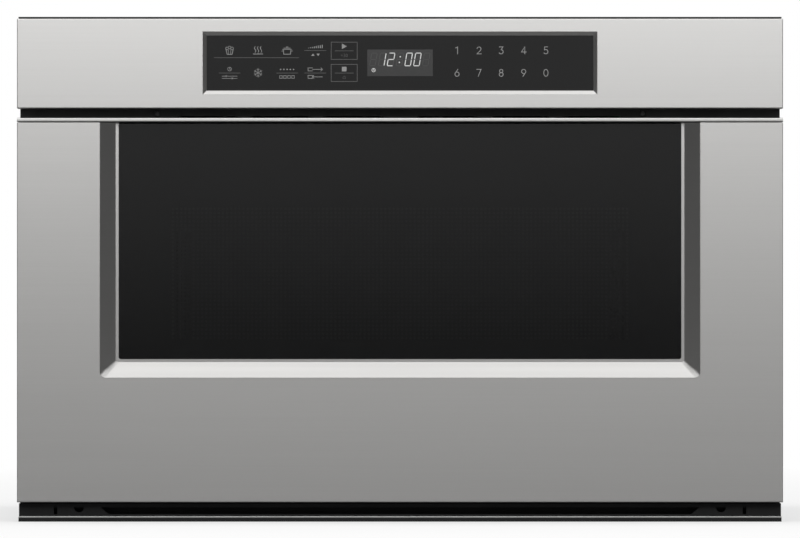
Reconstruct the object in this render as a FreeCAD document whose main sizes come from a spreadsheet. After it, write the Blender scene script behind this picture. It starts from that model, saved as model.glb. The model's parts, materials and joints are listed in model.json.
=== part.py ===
"""A built-in microwave drawer: a fixed chassis with its control panel, and a drawer with its front.

The drawer runs out on slides, driven by a motor, gears and a rack. Sizes are in millimetres. X runs to the
right, Y to the rear and Z up. The origin is at the middle of the base, on the surface that it stands on, and
the front face looks along -Y.
"""

import math
import os

import FreeCAD
import Part
import Sketcher
from FreeCAD import Placement, Rotation, Vector

doc = FreeCAD.newDocument("MicrowaveDrawer")
sheet = doc.addObject("Spreadsheet::Sheet", "sizes")
pieces = []


# ------------------------------------------------------------------------------------ sizes and places
class Size:
    """A length with two faces: its number, and the expression that gives it from the sheet's cells."""

    def __init__(self, number, text):
        self.number = number
        self.text = text

    def __add__(self, other):
        other = as_size(other)
        return Size(self.number + other.number, f"({self.text} + {other.text})")

    def __sub__(self, other):
        other = as_size(other)
        return Size(self.number - other.number, f"({self.text} - {other.text})")

    def __mul__(self, factor):
        return Size(self.number * factor, f"{self.text} * {factor}")

    def __truediv__(self, factor):
        return Size(self.number / factor, f"{self.text} / {factor}")

    def __neg__(self):
        return Size(-self.number, f"(-1 * {self.text})")


def as_size(value):
    return value if isinstance(value, Size) else Size(value, f"({value})")


def size(alias, number):
    """Puts a driving dimension in the sheet and returns it."""
    size.row += 1
    sheet.set(f"A{size.row}", str(number))
    sheet.setAlias(f"A{size.row}", alias)
    return Size(number, f"sizes.{alias}")


size.row = 0


def bind(target, path, value):
    """Ties one property of an object to the sheet."""
    target.setExpression(path, as_size(value).text)


# ------------------------------------------------------------------------------------ sketches
# A plane's name gives the sketch's own two directions. The sign says which way its normal points.
PLANES = {"xy": ("XY_Plane", 1), "xz": ("XZ_Plane", -1), "yz": ("YZ_Plane", 1)}


def rectangle(u0, u1, v0, v1, radius=None):
    """A loop of four corners, each rounded to the radius if there is one."""
    return [(u0, v0, radius), (u1, v0, radius), (u1, v1, radius), (u0, v1, radius)]


def circle(u, v, radius):
    """A true circle, for a shaft and the bore that it runs in."""
    return ("circle", u, v, radius)


def in_order(*places):
    """Places from the lowest to the highest, for a shape that is drawn on both sides of a middle line."""
    return sorted(places, key=lambda place: place.number)


def polygon(u, v, radius, sides=12):
    """A regular outline, for a round hub, post or can of which nothing turns or seats on the wall."""
    u, v, radius = as_size(u), as_size(v), as_size(radius)
    angles = [math.pi * (2 * i + 1) / sides for i in range(sides)]
    return [(u + radius * round(math.cos(a), 6), v + radius * round(math.sin(a), 6), None) for a in angles]


def block_rectangle(half, low, high, radius=None):
    """A rectangle centred on the first direction."""
    return rectangle(-half, half, low, high, radius)


def flattened(u0, u1, v0, v1, radius):
    """A rectangle with two flats for each rounded corner, where the corner is small or out of sight."""
    dip = radius * 0.293
    return [(u0, v0 + radius, None), (u0 + dip, v0 + dip, None), (u0 + radius, v0, None),
            (u1 - radius, v0, None), (u1 - dip, v0 + dip, None), (u1, v0 + radius, None),
            (u1, v1 - radius, None), (u1 - dip, v1 - dip, None), (u1 - radius, v1, None),
            (u0 + radius, v1, None), (u0 + dip, v1 - dip, None), (u0, v1 - radius, None)]


def axis_object(body, role):
    """The body's own origin plane or axis of that role."""
    return next(o for o in body.Origin.OriginFeatures if o.Role == role)


def corner_points(loop):
    """The loop's vertices in order. A rounded corner gives two tangent points and their radius."""
    points = []
    count = len(loop)
    for i, (u, v, radius) in enumerate(loop):
        u, v = as_size(u), as_size(v)
        if radius is None:
            points.append((u, v, None))
            continue
        for neighbour, arc in ((loop[i - 1], as_size(radius)), (loop[(i + 1) % count], None)):
            du = as_size(neighbour[0]).number - u.number
            dv = as_size(neighbour[1]).number - v.number
            step = as_size(radius)
            if abs(du) > abs(dv):
                points.append((u + step * math.copysign(1, du), v, arc))
            else:
                points.append((u, v + step * math.copysign(1, dv), arc))
    return points


def pin_point(sketch, geometry, point, u, v):
    """Holds one point of the sketch at a place given by the sheet."""
    for value, kind, line in ((u, "DistanceX", -2), (v, "DistanceY", -1)):
        value = as_size(value)
        if abs(value.number) < 1e-9:
            sketch.addConstraint(Sketcher.Constraint("PointOnObject", geometry, point, line))
            continue
        index = sketch.addConstraint(Sketcher.Constraint(kind, -1, 1, geometry, point, value.number))
        sketch.setExpression(f"Constraints[{index}]", value.text)


def draw_circle(sketch, u, v, radius):
    """Draws a circle whose centre and radius are held by the sheet."""
    u, v, radius = as_size(u), as_size(v), as_size(radius)
    outline = Part.Circle(Vector(u.number, v.number, 0), Vector(0, 0, 1), radius.number)
    edge = sketch.addGeometry(outline, False)
    pin_point(sketch, edge, 3, u, v)
    index = sketch.addConstraint(Sketcher.Constraint("Radius", edge, radius.number))
    sketch.setExpression(f"Constraints[{index}]", radius.text)


def draw_loop(sketch, loop):
    """Draws a closed loop of lines, with an arc at each rounded corner, every vertex held by the sheet."""
    points = corner_points(loop)
    count = len(points)
    edges = []
    for i, (u, v, radius) in enumerate(points):
        end_u, end_v, _ = points[(i + 1) % count]
        start = Vector(u.number, v.number, 0)
        end = Vector(end_u.number, end_v.number, 0)
        if radius is None:
            edge = sketch.addGeometry(Part.LineSegment(start, end), False)
            edges.append((edge, 1, 2))
            continue
        before = Vector(points[i - 1][0].number, points[i - 1][1].number, 0)
        centre, bulge = corner_arc(before, start, end, radius.number)
        edge = sketch.addGeometry(Part.Arc(start, bulge, end), False)
        turns_left = (start - before).cross(end - start).z > 0
        edges.append((edge, 1, 2) if turns_left else (edge, 2, 1))
        index = sketch.addConstraint(Sketcher.Constraint("Radius", edge, radius.number))
        sketch.setExpression(f"Constraints[{index}]", radius.text)
    for i, (edge, _, last) in enumerate(edges):
        following, first, _ = edges[(i + 1) % count]
        sketch.addConstraint(Sketcher.Constraint("Coincident", edge, last, following, first))
    for (edge, first, _), (u, v, _) in zip(edges, points):
        pin_point(sketch, edge, first, u, v)


def corner_arc(before, start, end, radius):
    """Centre and middle point of the quarter arc that leaves the line before-start and ends at end."""
    along = (start - before).normalize()
    side = Vector(-along.y, along.x, 0)
    if side.dot(end - start) < 0:
        side = side * -1
    centre = start + side * radius
    outward = (start - centre).normalize() + (end - centre).normalize()
    return centre, centre + outward.normalize() * radius


def sketch_on(body, plane, place, loops, centre=(0, 0)):
    """A sketch on an origin plane of the body, moved along its normal and then across it to a centre."""
    role, sign = PLANES[plane]
    sketch = body.newObject("Sketcher::SketchObject", f"{body.Name}_outline")
    sketch.AttachmentSupport = [(axis_object(body, role), "")]
    sketch.MapMode = "FlatFace"
    bind(sketch, "AttachmentOffset.Base.x", centre[0])
    bind(sketch, "AttachmentOffset.Base.y", centre[1])
    bind(sketch, "AttachmentOffset.Base.z", as_size(place) * sign)
    for loop in loops:
        if loop[0] == "circle":
            draw_circle(sketch, *loop[1:])
        else:
            draw_loop(sketch, loop)
    return sketch


# ------------------------------------------------------------------------------------ features
def piece(name):
    """A new sub-part."""
    body = doc.addObject("PartDesign::Body", name)
    body.Label = name
    pieces.append(body)
    return body


def add(body, plane, low, high, *loops, centre=(0, 0)):
    """Adds the loops' area to the body, from low to high along the axis that the plane leaves out."""
    low, high = as_size(low), as_size(high)
    start = low if PLANES[plane][1] > 0 else high
    pad = body.newObject("PartDesign::Pad", f"{body.Name}_pad")
    pad.Profile = sketch_on(body, plane, start, loops, centre)
    bind(pad, "Length", high - low)
    body.Tip = pad
    return pad


def cut(body, plane, low, high, *loops, centre=(0, 0)):
    """Cuts the loops' area out of the body, from low to high along the axis that the plane leaves out."""
    low, high = as_size(low), as_size(high)
    start = high if PLANES[plane][1] > 0 else low
    pocket = body.newObject("PartDesign::Pocket", f"{body.Name}_cut")
    pocket.Profile = sketch_on(body, plane, start, loops, centre)
    bind(pocket, "Length", high - low)
    body.Tip = pocket
    return pocket


def funnel(body, front, back, front_place, back_place):
    """Cuts a flared opening: straight walls from the front loop to the back loop."""
    loft = body.newObject("PartDesign::SubtractiveLoft", f"{body.Name}_flare")
    loft.Profile = sketch_on(body, "xz", front_place, [front])
    loft.Sections = [sketch_on(body, "xz", back_place, [back])]
    loft.Ruled = True
    body.Tip = loft
    return loft


def repeat_round(body, count, *features):
    """Repeats features about the normal of the first one's sketch."""
    pattern = body.newObject("PartDesign::PolarPattern", f"{body.Name}_round")
    pattern.Originals = features
    pattern.Axis = (features[0].Profile[0], ["N_Axis"])
    pattern.Occurrences = count
    body.Tip = pattern
    return pattern


def repeat_line(body, feature, axis, pitch, count):
    """Repeats a feature along one of the body's axes, at a pitch."""
    pattern = body.newObject("PartDesign::LinearPattern", f"{body.Name}_row")
    pattern.Originals = [feature]
    pattern.Direction = (axis_object(body, axis), [""])
    bind(pattern, "Length", as_size(pitch) * (count - 1))
    pattern.Occurrences = count
    body.Tip = pattern
    return pattern


def mirror_features(body, features, plane="YZ_Plane"):
    """Repeats features on the other side of one of the body's planes."""
    pattern = body.newObject("PartDesign::Mirrored", f"{body.Name}_mirror")
    pattern.Originals = features
    pattern.MirrorPlane = (axis_object(body, plane), [""])
    body.Tip = pattern
    return pattern


def mirrored_piece(name, source):
    """The left-hand twin of a right-hand sub-part."""
    twin = doc.addObject("Part::Mirroring", name)
    twin.Label = name
    twin.Source = source
    twin.Normal = Vector(1, 0, 0)
    pieces.append(twin)
    return twin


def round_edges(body, radius, chosen):
    """Rounds the edges that the test chosen(edge) picks."""
    tip = body.Tip
    tip.recompute(True)
    names = [f"Edge{i + 1}" for i, edge in enumerate(tip.Shape.Edges) if chosen(edge)]
    rounding = body.newObject("PartDesign::Fillet", f"{body.Name}_rounding")
    rounding.Base = (tip, names)
    bind(rounding, "Radius", radius)
    body.Tip = rounding
    return rounding


def runs_along(edge, direction, *near):
    """True for a straight edge along a direction, at each (axis, number) place given."""
    if not isinstance(edge.Curve, Part.Line):
        return False
    if abs(abs(edge.tangentAt(edge.FirstParameter).dot(direction)) - 1) > 1e-6:
        return False
    middle = edge.CenterOfMass
    return all(abs(abs(getattr(middle, axis)) - abs(as_size(place).number)) < 0.01 for axis, place in near)


X_WAY = Vector(1, 0, 0)
Y_WAY = Vector(0, 1, 0)
Z_WAY = Vector(0, 0, 1)

# ------------------------------------------------------------------------------------ driving sizes
width = size("width", 759)  # across the steel fronts
height = size("height", 500)  # from the base to the top lip
depth = size("depth", 594)  # from the steel fronts to the rear
face_depth = size("face_depth", 41)  # the fronts stand this far forward of the frame's line
face_gap = size("face_gap", 3)  # air between the drawer front and the frame
frame_sheet = size("frame_sheet", 1.6)
panel_sheet = size("panel_sheet", 0.9)  # chassis panels
skin = size("skin", 1)  # stainless fronts
thin_sheet = size("thin_sheet", 0.8)
rear_space = size("rear_space", 4)  # left behind the rear panel for the cable gland

chassis_half = size("chassis_width", 714) / 2
chassis_top = size("chassis_top", 486)
base_lift = size("base_lift", 4)  # the skids lift the base sheet

front_half = width / 2
frame_half = size("frame_width", 756) / 2
front_face = -(depth / 2)
door_back = front_face + face_depth
frame_front = door_back + face_gap
seat = frame_front + frame_sheet  # the plane that meets the kitchen cabinet
rear_end = depth / 2
panel_back = rear_end - rear_space
panel_front = panel_back - panel_sheet
floor_top = base_lift + panel_sheet

door_bottom = size("door_bottom", 19)
door_top = size("door_top", 400)
control_bottom = size("control_bottom", 409.4)
control_top = size("control_top", 498.2)

cavity_half = size("cavity_width", 480) / 2
cavity_floor = size("cavity_floor", 118)
cavity_ceiling = size("cavity_ceiling", 322)
cavity_back = size("cavity_back", 206)

travel = size("travel", 390)  # how far the drawer comes out

slide_near = size("slide_near", 256)  # the slides' inner face, from the middle
slide_thick = size("slide_thick", 12.7)
slide_level = size("slide_level", 225)
slide_far = slide_near + slide_thick

stirrer_y = size("stirrer_y", -20)
tube_y = size("tube_y", 247)  # the magnetron's axis


# ------------------------------------------------------------------------------------ chassis
def make_base_plate():
    """Base pan: a sheet with turned-up edges, on two pressed skids."""
    body = piece("base_plate")
    edge_height = size("base_edge", 20)
    half = chassis_half - panel_sheet
    top = base_lift + edge_height
    pan = [(-half, base_lift, None), (half, base_lift, None), (half, top, None),
           (half - panel_sheet, top, None), (half - panel_sheet, floor_top, None),
           (panel_sheet - half, floor_top, None), (panel_sheet - half, top, None), (-half, top, None)]
    add(body, "xz", seat + panel_sheet, panel_front, pan)
    add(body, "xz", panel_front - panel_sheet, panel_front, block_rectangle(half, base_lift, top))
    skid_in = size("skid_in", 296)
    skid_out = size("skid_out", 340)
    skid_front = seat + size("skid_margin", 8)
    skid_rear = panel_front - size("skid_margin_rear", 10)
    skid = add(body, "xy", 0, base_lift, rectangle(skid_in, skid_out, skid_front, skid_rear))
    hollow = cut(body, "xy", panel_sheet, floor_top,
                 rectangle(skid_in + panel_sheet, skid_out - panel_sheet, skid_front + panel_sheet,
                           skid_rear - panel_sheet))
    mirror_features(body, [skid, hollow])


def make_front_frame():
    """Black front frame: the flange that meets the cabinet, with openings that the drawer's pieces pass."""
    body = piece("front_frame")
    slide_slot = size("slide_slot_room", 2.3)
    slide_slot_half = size("slide_slot_height", 54) / 2
    slots = []
    for side in (1, -1):
        ends = in_order((slide_near - slide_slot) * side, (slide_far + slide_slot) * side)
        slots.append(rectangle(*ends, slide_level - slide_slot_half, slide_level + slide_slot_half))
        latch = in_order((latch_x - latch_slot_half) * side, (latch_x + latch_slot_half) * side)
        slots.append(rectangle(*latch, latch_level - latch_slot_half * 2, latch_level + latch_slot_half * 2))
    wiring_half = size("wiring_half", 60)
    wiring_low = size("wiring_low", 436)
    wiring_high = size("wiring_high", 470)
    outline = block_rectangle(frame_half, 0, height)
    mouth = flattened(-cavity_half, cavity_half, cavity_floor, cavity_ceiling, size("mouth_round", 4))
    rack_slot = block_rectangle(size("rack_slot_half", 18), size("rack_slot_low", 84),
                                size("rack_slot_high", 110))
    wiring = block_rectangle(wiring_half, wiring_low, wiring_high)
    add(body, "xz", frame_front, seat, outline, mouth, rack_slot, wiring, *slots)
    lip = size("top_lip", 1.4)
    add(body, "xy", height - lip, height,
        rectangle(-frame_half, frame_half, front_face + size("lip_setback", 1.2), frame_front))
    # Warm air leaves through six slots above the drawer front.
    vent_start = size("vent_start", 18)
    vent_length = size("vent_length", 57)
    vent_low = size("vent_low", 396)
    vent_high = size("vent_high", 402.6)
    vent_pitch = size("vent_pitch", 72.5)
    starts = [vent_start + vent_pitch * i for i in range(3)]
    vents = cut(body, "xz", frame_front, seat,
                *[rectangle(start, start + vent_length, vent_low, vent_high) for start in starts])
    mirror_features(body, [vents])
    # Room air comes in behind the lower trim.
    cut(body, "xz", frame_front, seat, block_rectangle(intake_half, intake_low, intake_high))
    screw_x = size("frame_screw_x", 368)
    screw_low = size("frame_screw_low", 60)
    screw_high = size("frame_screw_high", 380)
    screw_radius = size("frame_screw_radius", 2.75)
    holes = [circle(screw_x * side, level, screw_radius)
             for side in (1, -1) for level in (screw_low, screw_high)]
    cut(body, "xz", frame_front, seat, *holes)


def make_side_panels():
    """Side panels: each a sheet with a flange at the front that is riveted to the frame."""
    body = piece("side_panel_right")
    flange = size("side_flange", 16)
    outer, inner = chassis_half, chassis_half - panel_sheet
    add(body, "xy", base_lift, chassis_top,
        [(outer - flange, seat, None), (outer, seat, None), (outer, panel_front, None),
         (inner, panel_front, None), (inner, seat + panel_sheet, None),
         (outer - flange, seat + panel_sheet, None)])
    # Three pressed stiffening beads, each a shallow groove in the outer face.
    bead = cut(body, "xz", seat + size("bead_margin", 40), panel_front - size("bead_margin_rear", 40),
               rectangle(outer - size("bead_deep", 0.5), outer,
                         size("bead_low", 110), size("bead_high", 124)))
    repeat_line(body, bead, "Z_Axis", size("bead_pitch", 120), 3)
    mirrored_piece("side_panel_left", body)


def make_rear_panel():
    """Rear panel: a flat sheet with the round hole that the cable gland sits in."""
    body = piece("rear_panel")
    gland_hole = polygon(gland_x, gland_level, gland_radius)
    add(body, "xz", panel_front, panel_back,
        block_rectangle(chassis_half, base_lift, chassis_top), gland_hole)


def make_top_cover():
    """Top cover: a sheet whose edges turn down inside the side panels."""
    body = piece("top_cover")
    drop = size("cover_drop", 14)
    outer, inner = chassis_half - panel_sheet, chassis_half - panel_sheet * 2
    top = chassis_top + panel_sheet
    add(body, "xz", seat + panel_sheet, panel_back,
        [(-chassis_half, top, None), (-chassis_half, chassis_top, None), (-outer, chassis_top, None),
         (-outer, chassis_top - drop, None), (-inner, chassis_top - drop, None), (-inner, chassis_top, None),
         (inner, chassis_top, None), (inner, chassis_top - drop, None), (outer, chassis_top - drop, None),
         (outer, chassis_top, None), (chassis_half, chassis_top, None), (chassis_half, top, None)])
    # The rear edge rests on the rear panel, so the turned-down edges stop short of it.
    cut(body, "xz", panel_front, panel_back,
        block_rectangle(chassis_half, chassis_top - drop, chassis_top))


def make_bottom_trim():
    """Lower trim under the drawer front: a folded black channel with a lip and the air intake."""
    body = piece("bottom_trim")
    trim_top = size("trim_top", 17.5)
    trim_face = front_face + size("trim_setback", 14)
    lip_face = front_face + size("lip_face_setback", 1)
    lip_top = size("lip_top", 5)
    section = [(frame_front, 0, None), (frame_front, skin, None), (trim_face + skin, skin, None),
               (trim_face + skin, trim_top - skin, None), (frame_front, trim_top - skin, None),
               (frame_front, trim_top, None), (trim_face, trim_top, None), (trim_face, skin, None),
               (lip_face + skin, skin, None), (lip_face + skin, lip_top, None), (lip_face, lip_top, None),
               (lip_face, 0, None)]
    add(body, "yz", -frame_half, frame_half, section)
    intake_splay = size("intake_splay", 8)
    cut(body, "xz", trim_face, trim_face + skin,
        [(-intake_half, intake_low, None), (intake_half, intake_low, None),
         (intake_half + intake_splay, intake_high, None), (-intake_half - intake_splay, intake_high, None)])
    # The seam of each end cap, and the notch that clears its screw.
    seam_x = size("end_seam_x", 340)
    seam = cut(body, "xz", trim_face, trim_face + skin,
               rectangle(seam_x, seam_x + size("end_seam", 3.5), intake_low, intake_high))
    notch = cut(body, "xz", trim_face, trim_face + skin,
                polygon(size("notch_x", 318.5), intake_high, size("notch_radius", 5), 16))
    # A notch is a half round: its upper half is filled again by the strip above it.
    strip = add(body, "xz", trim_face, trim_face + skin,
                rectangle(size("notch_fill_in", 312), size("notch_fill_out", 325), intake_high, trim_top))
    mirror_features(body, [seam, notch, strip])


# ------------------------------------------------------------------------------------ oven
def make_oven_cavity():
    """Fixed oven cavity: a welded box, open to the front, with a flange behind the frame."""
    body = piece("oven_cavity")
    flange = size("cavity_flange", 10)
    half = cavity_half + thin_sheet
    bottom, top = cavity_floor - thin_sheet, cavity_ceiling + thin_sheet
    add(body, "xz", seat, cavity_back + thin_sheet,
        flattened(-half, half, bottom, top, size("cavity_round", 6)))
    add(body, "xz", seat, seat + thin_sheet, block_rectangle(half + flange, bottom - flange, top + flange))
    cut(body, "xz", seat, cavity_back,
        flattened(-cavity_half, cavity_half, cavity_floor, cavity_ceiling, size("cavity_inner_round", 5)))
    lamp_window = size("lamp_window", 14)
    cut(body, "xy", cavity_ceiling, top, polygon(0, stirrer_y, drum_radius, 24),
        rectangle(lamp_x - lamp_window, lamp_x + lamp_window, lamp_y - lamp_window, lamp_y + lamp_window))


def make_waveguide():
    """Waveguide: a folded duct from the magnetron to the drum over the stirrer, the two welded together."""
    body = piece("waveguide")
    flange = size("drum_flange", 7)
    low = cavity_ceiling + thin_sheet
    wall = thin_sheet
    sides = 24
    add(body, "xy", low, low + wall, polygon(0, stirrer_y, drum_radius + flange, sides))
    add(body, "xy", low + wall, drum_top, polygon(0, stirrer_y, drum_radius + wall, sides))
    cut(body, "xy", low, drum_top - wall, polygon(0, stirrer_y, drum_radius, sides))
    half = guide_half
    front = stirrer_y - size("guide_end", 42)
    back = tube_y + size("guide_back", 38)
    add(body, "xy", drum_top, guide_top, rectangle(-half, half, front, back))
    cut(body, "xy", drum_top + wall, guide_top - wall,
        rectangle(wall - half, half - wall, front + wall, back - wall))
    cut(body, "xy", drum_top - wall, drum_top + wall, polygon(0, stirrer_y, coupling_radius, sides))
    cut(body, "xy", guide_top - wall, guide_top, polygon(0, stirrer_y, size("shaft_hole", 6)),
        polygon(0, tube_y, size("antenna_hole", 14)))


def make_stirrer():
    """Mode stirrer: a shaft and hub with four blades, each with a bent-up end."""
    motor = piece("stirrer_motor")
    shaft_radius = size("stirrer_shaft", 3)
    motor_radius = size("stirrer_motor_radius", 24)
    motor_high = guide_top + size("stirrer_motor_height", 18)
    ear = size("stirrer_motor_ear", 32)
    add(motor, "xy", guide_top, motor_high, polygon(0, stirrer_y, motor_radius, 24))
    add(motor, "xy", guide_top, guide_top + thin_sheet,
        rectangle(-ear, ear, stirrer_y - size("ear_half", 8), stirrer_y + size("ear_half_rear", 8)))
    shaft_top = guide_top + size("shaft_in_motor", 10)
    cut(motor, "xy", guide_top, shaft_top + size("shaft_end_gap", 1),
        circle(0, stirrer_y, shaft_radius + size("shaft_clearance", 0.06)))

    body = piece("stirrer")
    blade_low = cavity_ceiling + size("blade_height", 12)
    blade_thick = size("blade_thick", 1.2)
    reach = size("blade_reach", 80)
    half = size("blade_half", 11)
    tip = size("blade_tip", 18)
    tip_height = size("blade_tip_height", 8)
    hub_low = blade_low - size("hub_below", 3)
    hub_high = blade_low + size("hub_above", 6)
    centre = (0, stirrer_y)
    add(body, "xy", hub_low, hub_high, polygon(0, 0, size("hub_radius", 10)), centre=centre)
    add(body, "xy", hub_high, shaft_top, circle(0, 0, shaft_radius), centre=centre)
    arm = add(body, "xy", blade_low, blade_low + blade_thick,
              rectangle(0, reach, -half, half), centre=centre)
    end = add(body, "xy", blade_low, blade_low + tip_height,
              rectangle(reach - blade_thick, reach, -tip, tip), centre=centre)
    repeat_round(body, 4, arm, end)


def make_stirrer_cover():
    """Cover under the stirrer: a shallow tray that lets microwaves through, clipped under the ceiling."""
    body = piece("stirrer_cover")
    half = size("stirrer_cover_half", 112)
    sheet_thick = size("stirrer_cover_sheet", 1.5)
    low = cavity_ceiling - size("stirrer_cover_drop", 4)
    front, back = stirrer_y - half, stirrer_y + half
    add(body, "xy", low, cavity_ceiling, rectangle(-half, half, front, back))
    cut(body, "xy", low + sheet_thick, cavity_ceiling,
        rectangle(sheet_thick - half, half - sheet_thick, front + sheet_thick, back - sheet_thick))


def make_magnetron():
    """Magnetron: its aerial in the waveguide, the finned anode in a steel yoke, and the filter box."""
    body = piece("magnetron")
    yoke_x = size("yoke_half_x", 46)
    yoke_y = size("yoke_half_y", 38)
    yoke_low = guide_top + size("flange_thick", 2)
    yoke_high = yoke_low + size("yoke_height", 66)
    wall = size("yoke_wall", 1.6)
    centre = (0, tube_y)
    add(body, "xy", guide_top, yoke_low, rectangle(-yoke_x, yoke_x, -yoke_y, yoke_y), centre=centre)
    add(body, "xy", yoke_low, yoke_high, rectangle(-yoke_x, yoke_x, -yoke_y, yoke_y), centre=centre)
    # Cooling air crosses between the fins, along X.
    fin_pitch = size("fin_pitch", 7)
    gap = cut(body, "xy", yoke_low + wall * 2, yoke_low + wall * 2 + size("fin_gap", 5.6),
              rectangle(-yoke_x, yoke_x, wall - yoke_y, yoke_y - wall), centre=centre)
    repeat_line(body, gap, "Z_Axis", fin_pitch, 9)
    add(body, "xy", yoke_low, yoke_high, polygon(0, 0, size("anode_radius", 20)), centre=centre)
    filter_high = yoke_high + size("filter_height", 26)
    add(body, "xy", yoke_high, filter_high,
        rectangle(-size("filter_x", 32), size("filter_x_right", 32), -size("filter_y", 24),
                  size("filter_y_rear", 24)), centre=centre)
    add(body, "xz", tube_y - size("plug_front", 34), tube_y, block_rectangle(
        size("filter_plug", 14), yoke_high + size("plug_up", 7), filter_high - size("plug_down", 7)))
    aerial_low = guide_top - size("aerial_length", 26)
    add(body, "xy", aerial_low, guide_top, polygon(0, 0, size("aerial_radius", 8)), centre=centre)


def make_fan():
    """Cooling fan: an axial fan that blows through a duct into the magnetron's fins."""
    level = guide_top + size("fan_above_guide", 45)
    ring = size("fan_ring", 38)
    half = size("shroud_half", 42)
    shroud_front = size("shroud_near", 82)
    shroud_back = size("shroud_far", 106)
    duct_start = size("duct_start", 48)
    wall = size("shroud_wall", 1.6)
    centre = (tube_y, level)
    shroud = piece("fan_shroud")
    add(shroud, "yz", shroud_front, shroud_back, rectangle(-half, half, -half, half),
        polygon(0, 0, ring + size("ring_room", 1), 24), centre=centre)
    duct = rectangle(-half, half, -half, half), rectangle(wall - half, half - wall, wall - half, half - wall)
    add(shroud, "yz", duct_start, shroud_front, *duct, centre=centre)
    arm = size("spider_arm", 7)
    arm_far = shroud_back + size("spider_thick", 2)
    add(shroud, "yz", shroud_back, arm_far, rectangle(-half, half, -arm, arm),
        polygon(0, 0, size("spider_hole", 5)), centre=centre)
    add(shroud, "xz", tube_y + half, panel_front,
        rectangle(shroud_front, shroud_back, level - arm * 2, level + arm * 2))

    motor = piece("fan_motor")
    shaft = size("fan_shaft", 2.5)
    stack_half = size("fan_stack_half", 24)
    stack_back = arm_far + size("fan_stack", 20)
    coil_back = stack_back + size("fan_coil_room", 8)
    stack_top = size("fan_stack_top", 22)
    coil_low = size("fan_coil_low", 42)
    add(motor, "yz", arm_far, stack_back,
        rectangle(-stack_half, stack_half, -coil_low, stack_top), centre=centre)
    add(motor, "yz", stack_back, coil_back, polygon(0, 0, size("fan_bearing", 12)), centre=centre)
    add(motor, "yz", arm_far - size("coil_front", 0.5), coil_back,
        rectangle(-size("coil_half", 16), size("coil_half_rear", 16), -coil_low, -stack_top), centre=centre)
    cut(motor, "yz", arm_far - size("bore_start", 1), stack_back,
        circle(0, 0, shaft + size("fan_clearance", 0.06)), centre=centre)

    blade = piece("fan_blade")
    hub_near = shroud_front + size("hub_setback", 4)
    hub_far = shroud_back - size("hub_setback_rear", 2)
    hub = size("fan_hub", 11)
    add(blade, "yz", hub_near, hub_far, polygon(0, 0, hub, 15), centre=centre)
    add(blade, "yz", hub_far, stack_back - size("fan_shaft_end", 1), circle(0, 0, shaft), centre=centre)
    return blade, centre, hub_near, hub_far, ring


def add_fan_blades(blade, centre, near, far, ring):
    """Five flat blades, each set at an angle across the hub."""
    thick = size("fan_blade_thick", 1.6)
    chord = size("fan_blade_chord", 20)
    sketch = blade.newObject("Sketcher::SketchObject", "fan_blade_section")
    sketch.AttachmentSupport = [(axis_object(blade, "XY_Plane"), "")]
    sketch.MapMode = "FlatFace"
    sketch.AttachmentOffset = Placement(Vector(), Rotation(Z_WAY, 38))
    bind(sketch, "AttachmentOffset.Base.x", (near + far) / 2)
    bind(sketch, "AttachmentOffset.Base.y", centre[0])
    bind(sketch, "AttachmentOffset.Base.z", centre[1])
    draw_loop(sketch, rectangle(-(thick / 2), thick / 2, -(chord / 2), chord / 2))
    pad = blade.newObject("PartDesign::Pad", "fan_blade_pad")
    pad.Profile = sketch
    bind(pad, "Length", ring - thick)
    pattern = blade.newObject("PartDesign::PolarPattern", "fan_blade_round")
    pattern.Originals = [pad]
    hub = next(o for o in blade.Group if o.isDerivedFrom("PartDesign::Pad"))
    pattern.Axis = (hub.Profile[0], ["N_Axis"])
    pattern.Occurrences = 5
    blade.Tip = pattern


def make_transformer():
    """High-voltage transformer: a laminated core on a foot plate, with two windings on its middle limb."""
    body = piece("hv_transformer")
    centre = (-size("transformer_x", 298), 0)
    y_mid = size("transformer_y", 250)
    half_stack = size("core_stack", 44) / 2
    half = size("core_half", 45)
    low = floor_top + size("core_foot", 2)
    high = low + size("core_height", 76)
    limb = size("core_limb", 14)
    window = size("core_window", 30)
    yoke = size("core_yoke", 15)
    add(body, "xz", y_mid - half_stack, y_mid + half_stack, rectangle(-half, half, low, high), centre=centre)
    for side in (1, -1):
        ends = in_order(limb * side, window * side)
        cut(body, "xz", y_mid - half_stack, y_mid + half_stack, rectangle(*ends, low + yoke, high - yoke),
            centre=centre)
    foot = size("core_foot_wide", 8)
    add(body, "xy", floor_top, low,
        rectangle(-half - foot, half + foot, y_mid - half_stack, y_mid + half_stack), centre=centre)
    coil_gap = size("coil_gap", 2)
    overhang = size("coil_overhang", 16)
    middle = (low + high) / 2
    lower = (low + yoke + coil_gap / 2, middle - coil_gap / 2)
    upper = (middle + coil_gap / 2, high - yoke - coil_gap / 2)
    for bottom, top in (lower, upper):
        add(body, "xy", bottom, top,
            rectangle(coil_gap - window, window - coil_gap, y_mid - half_stack - overhang,
                      y_mid + half_stack + overhang), centre=centre)


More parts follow.
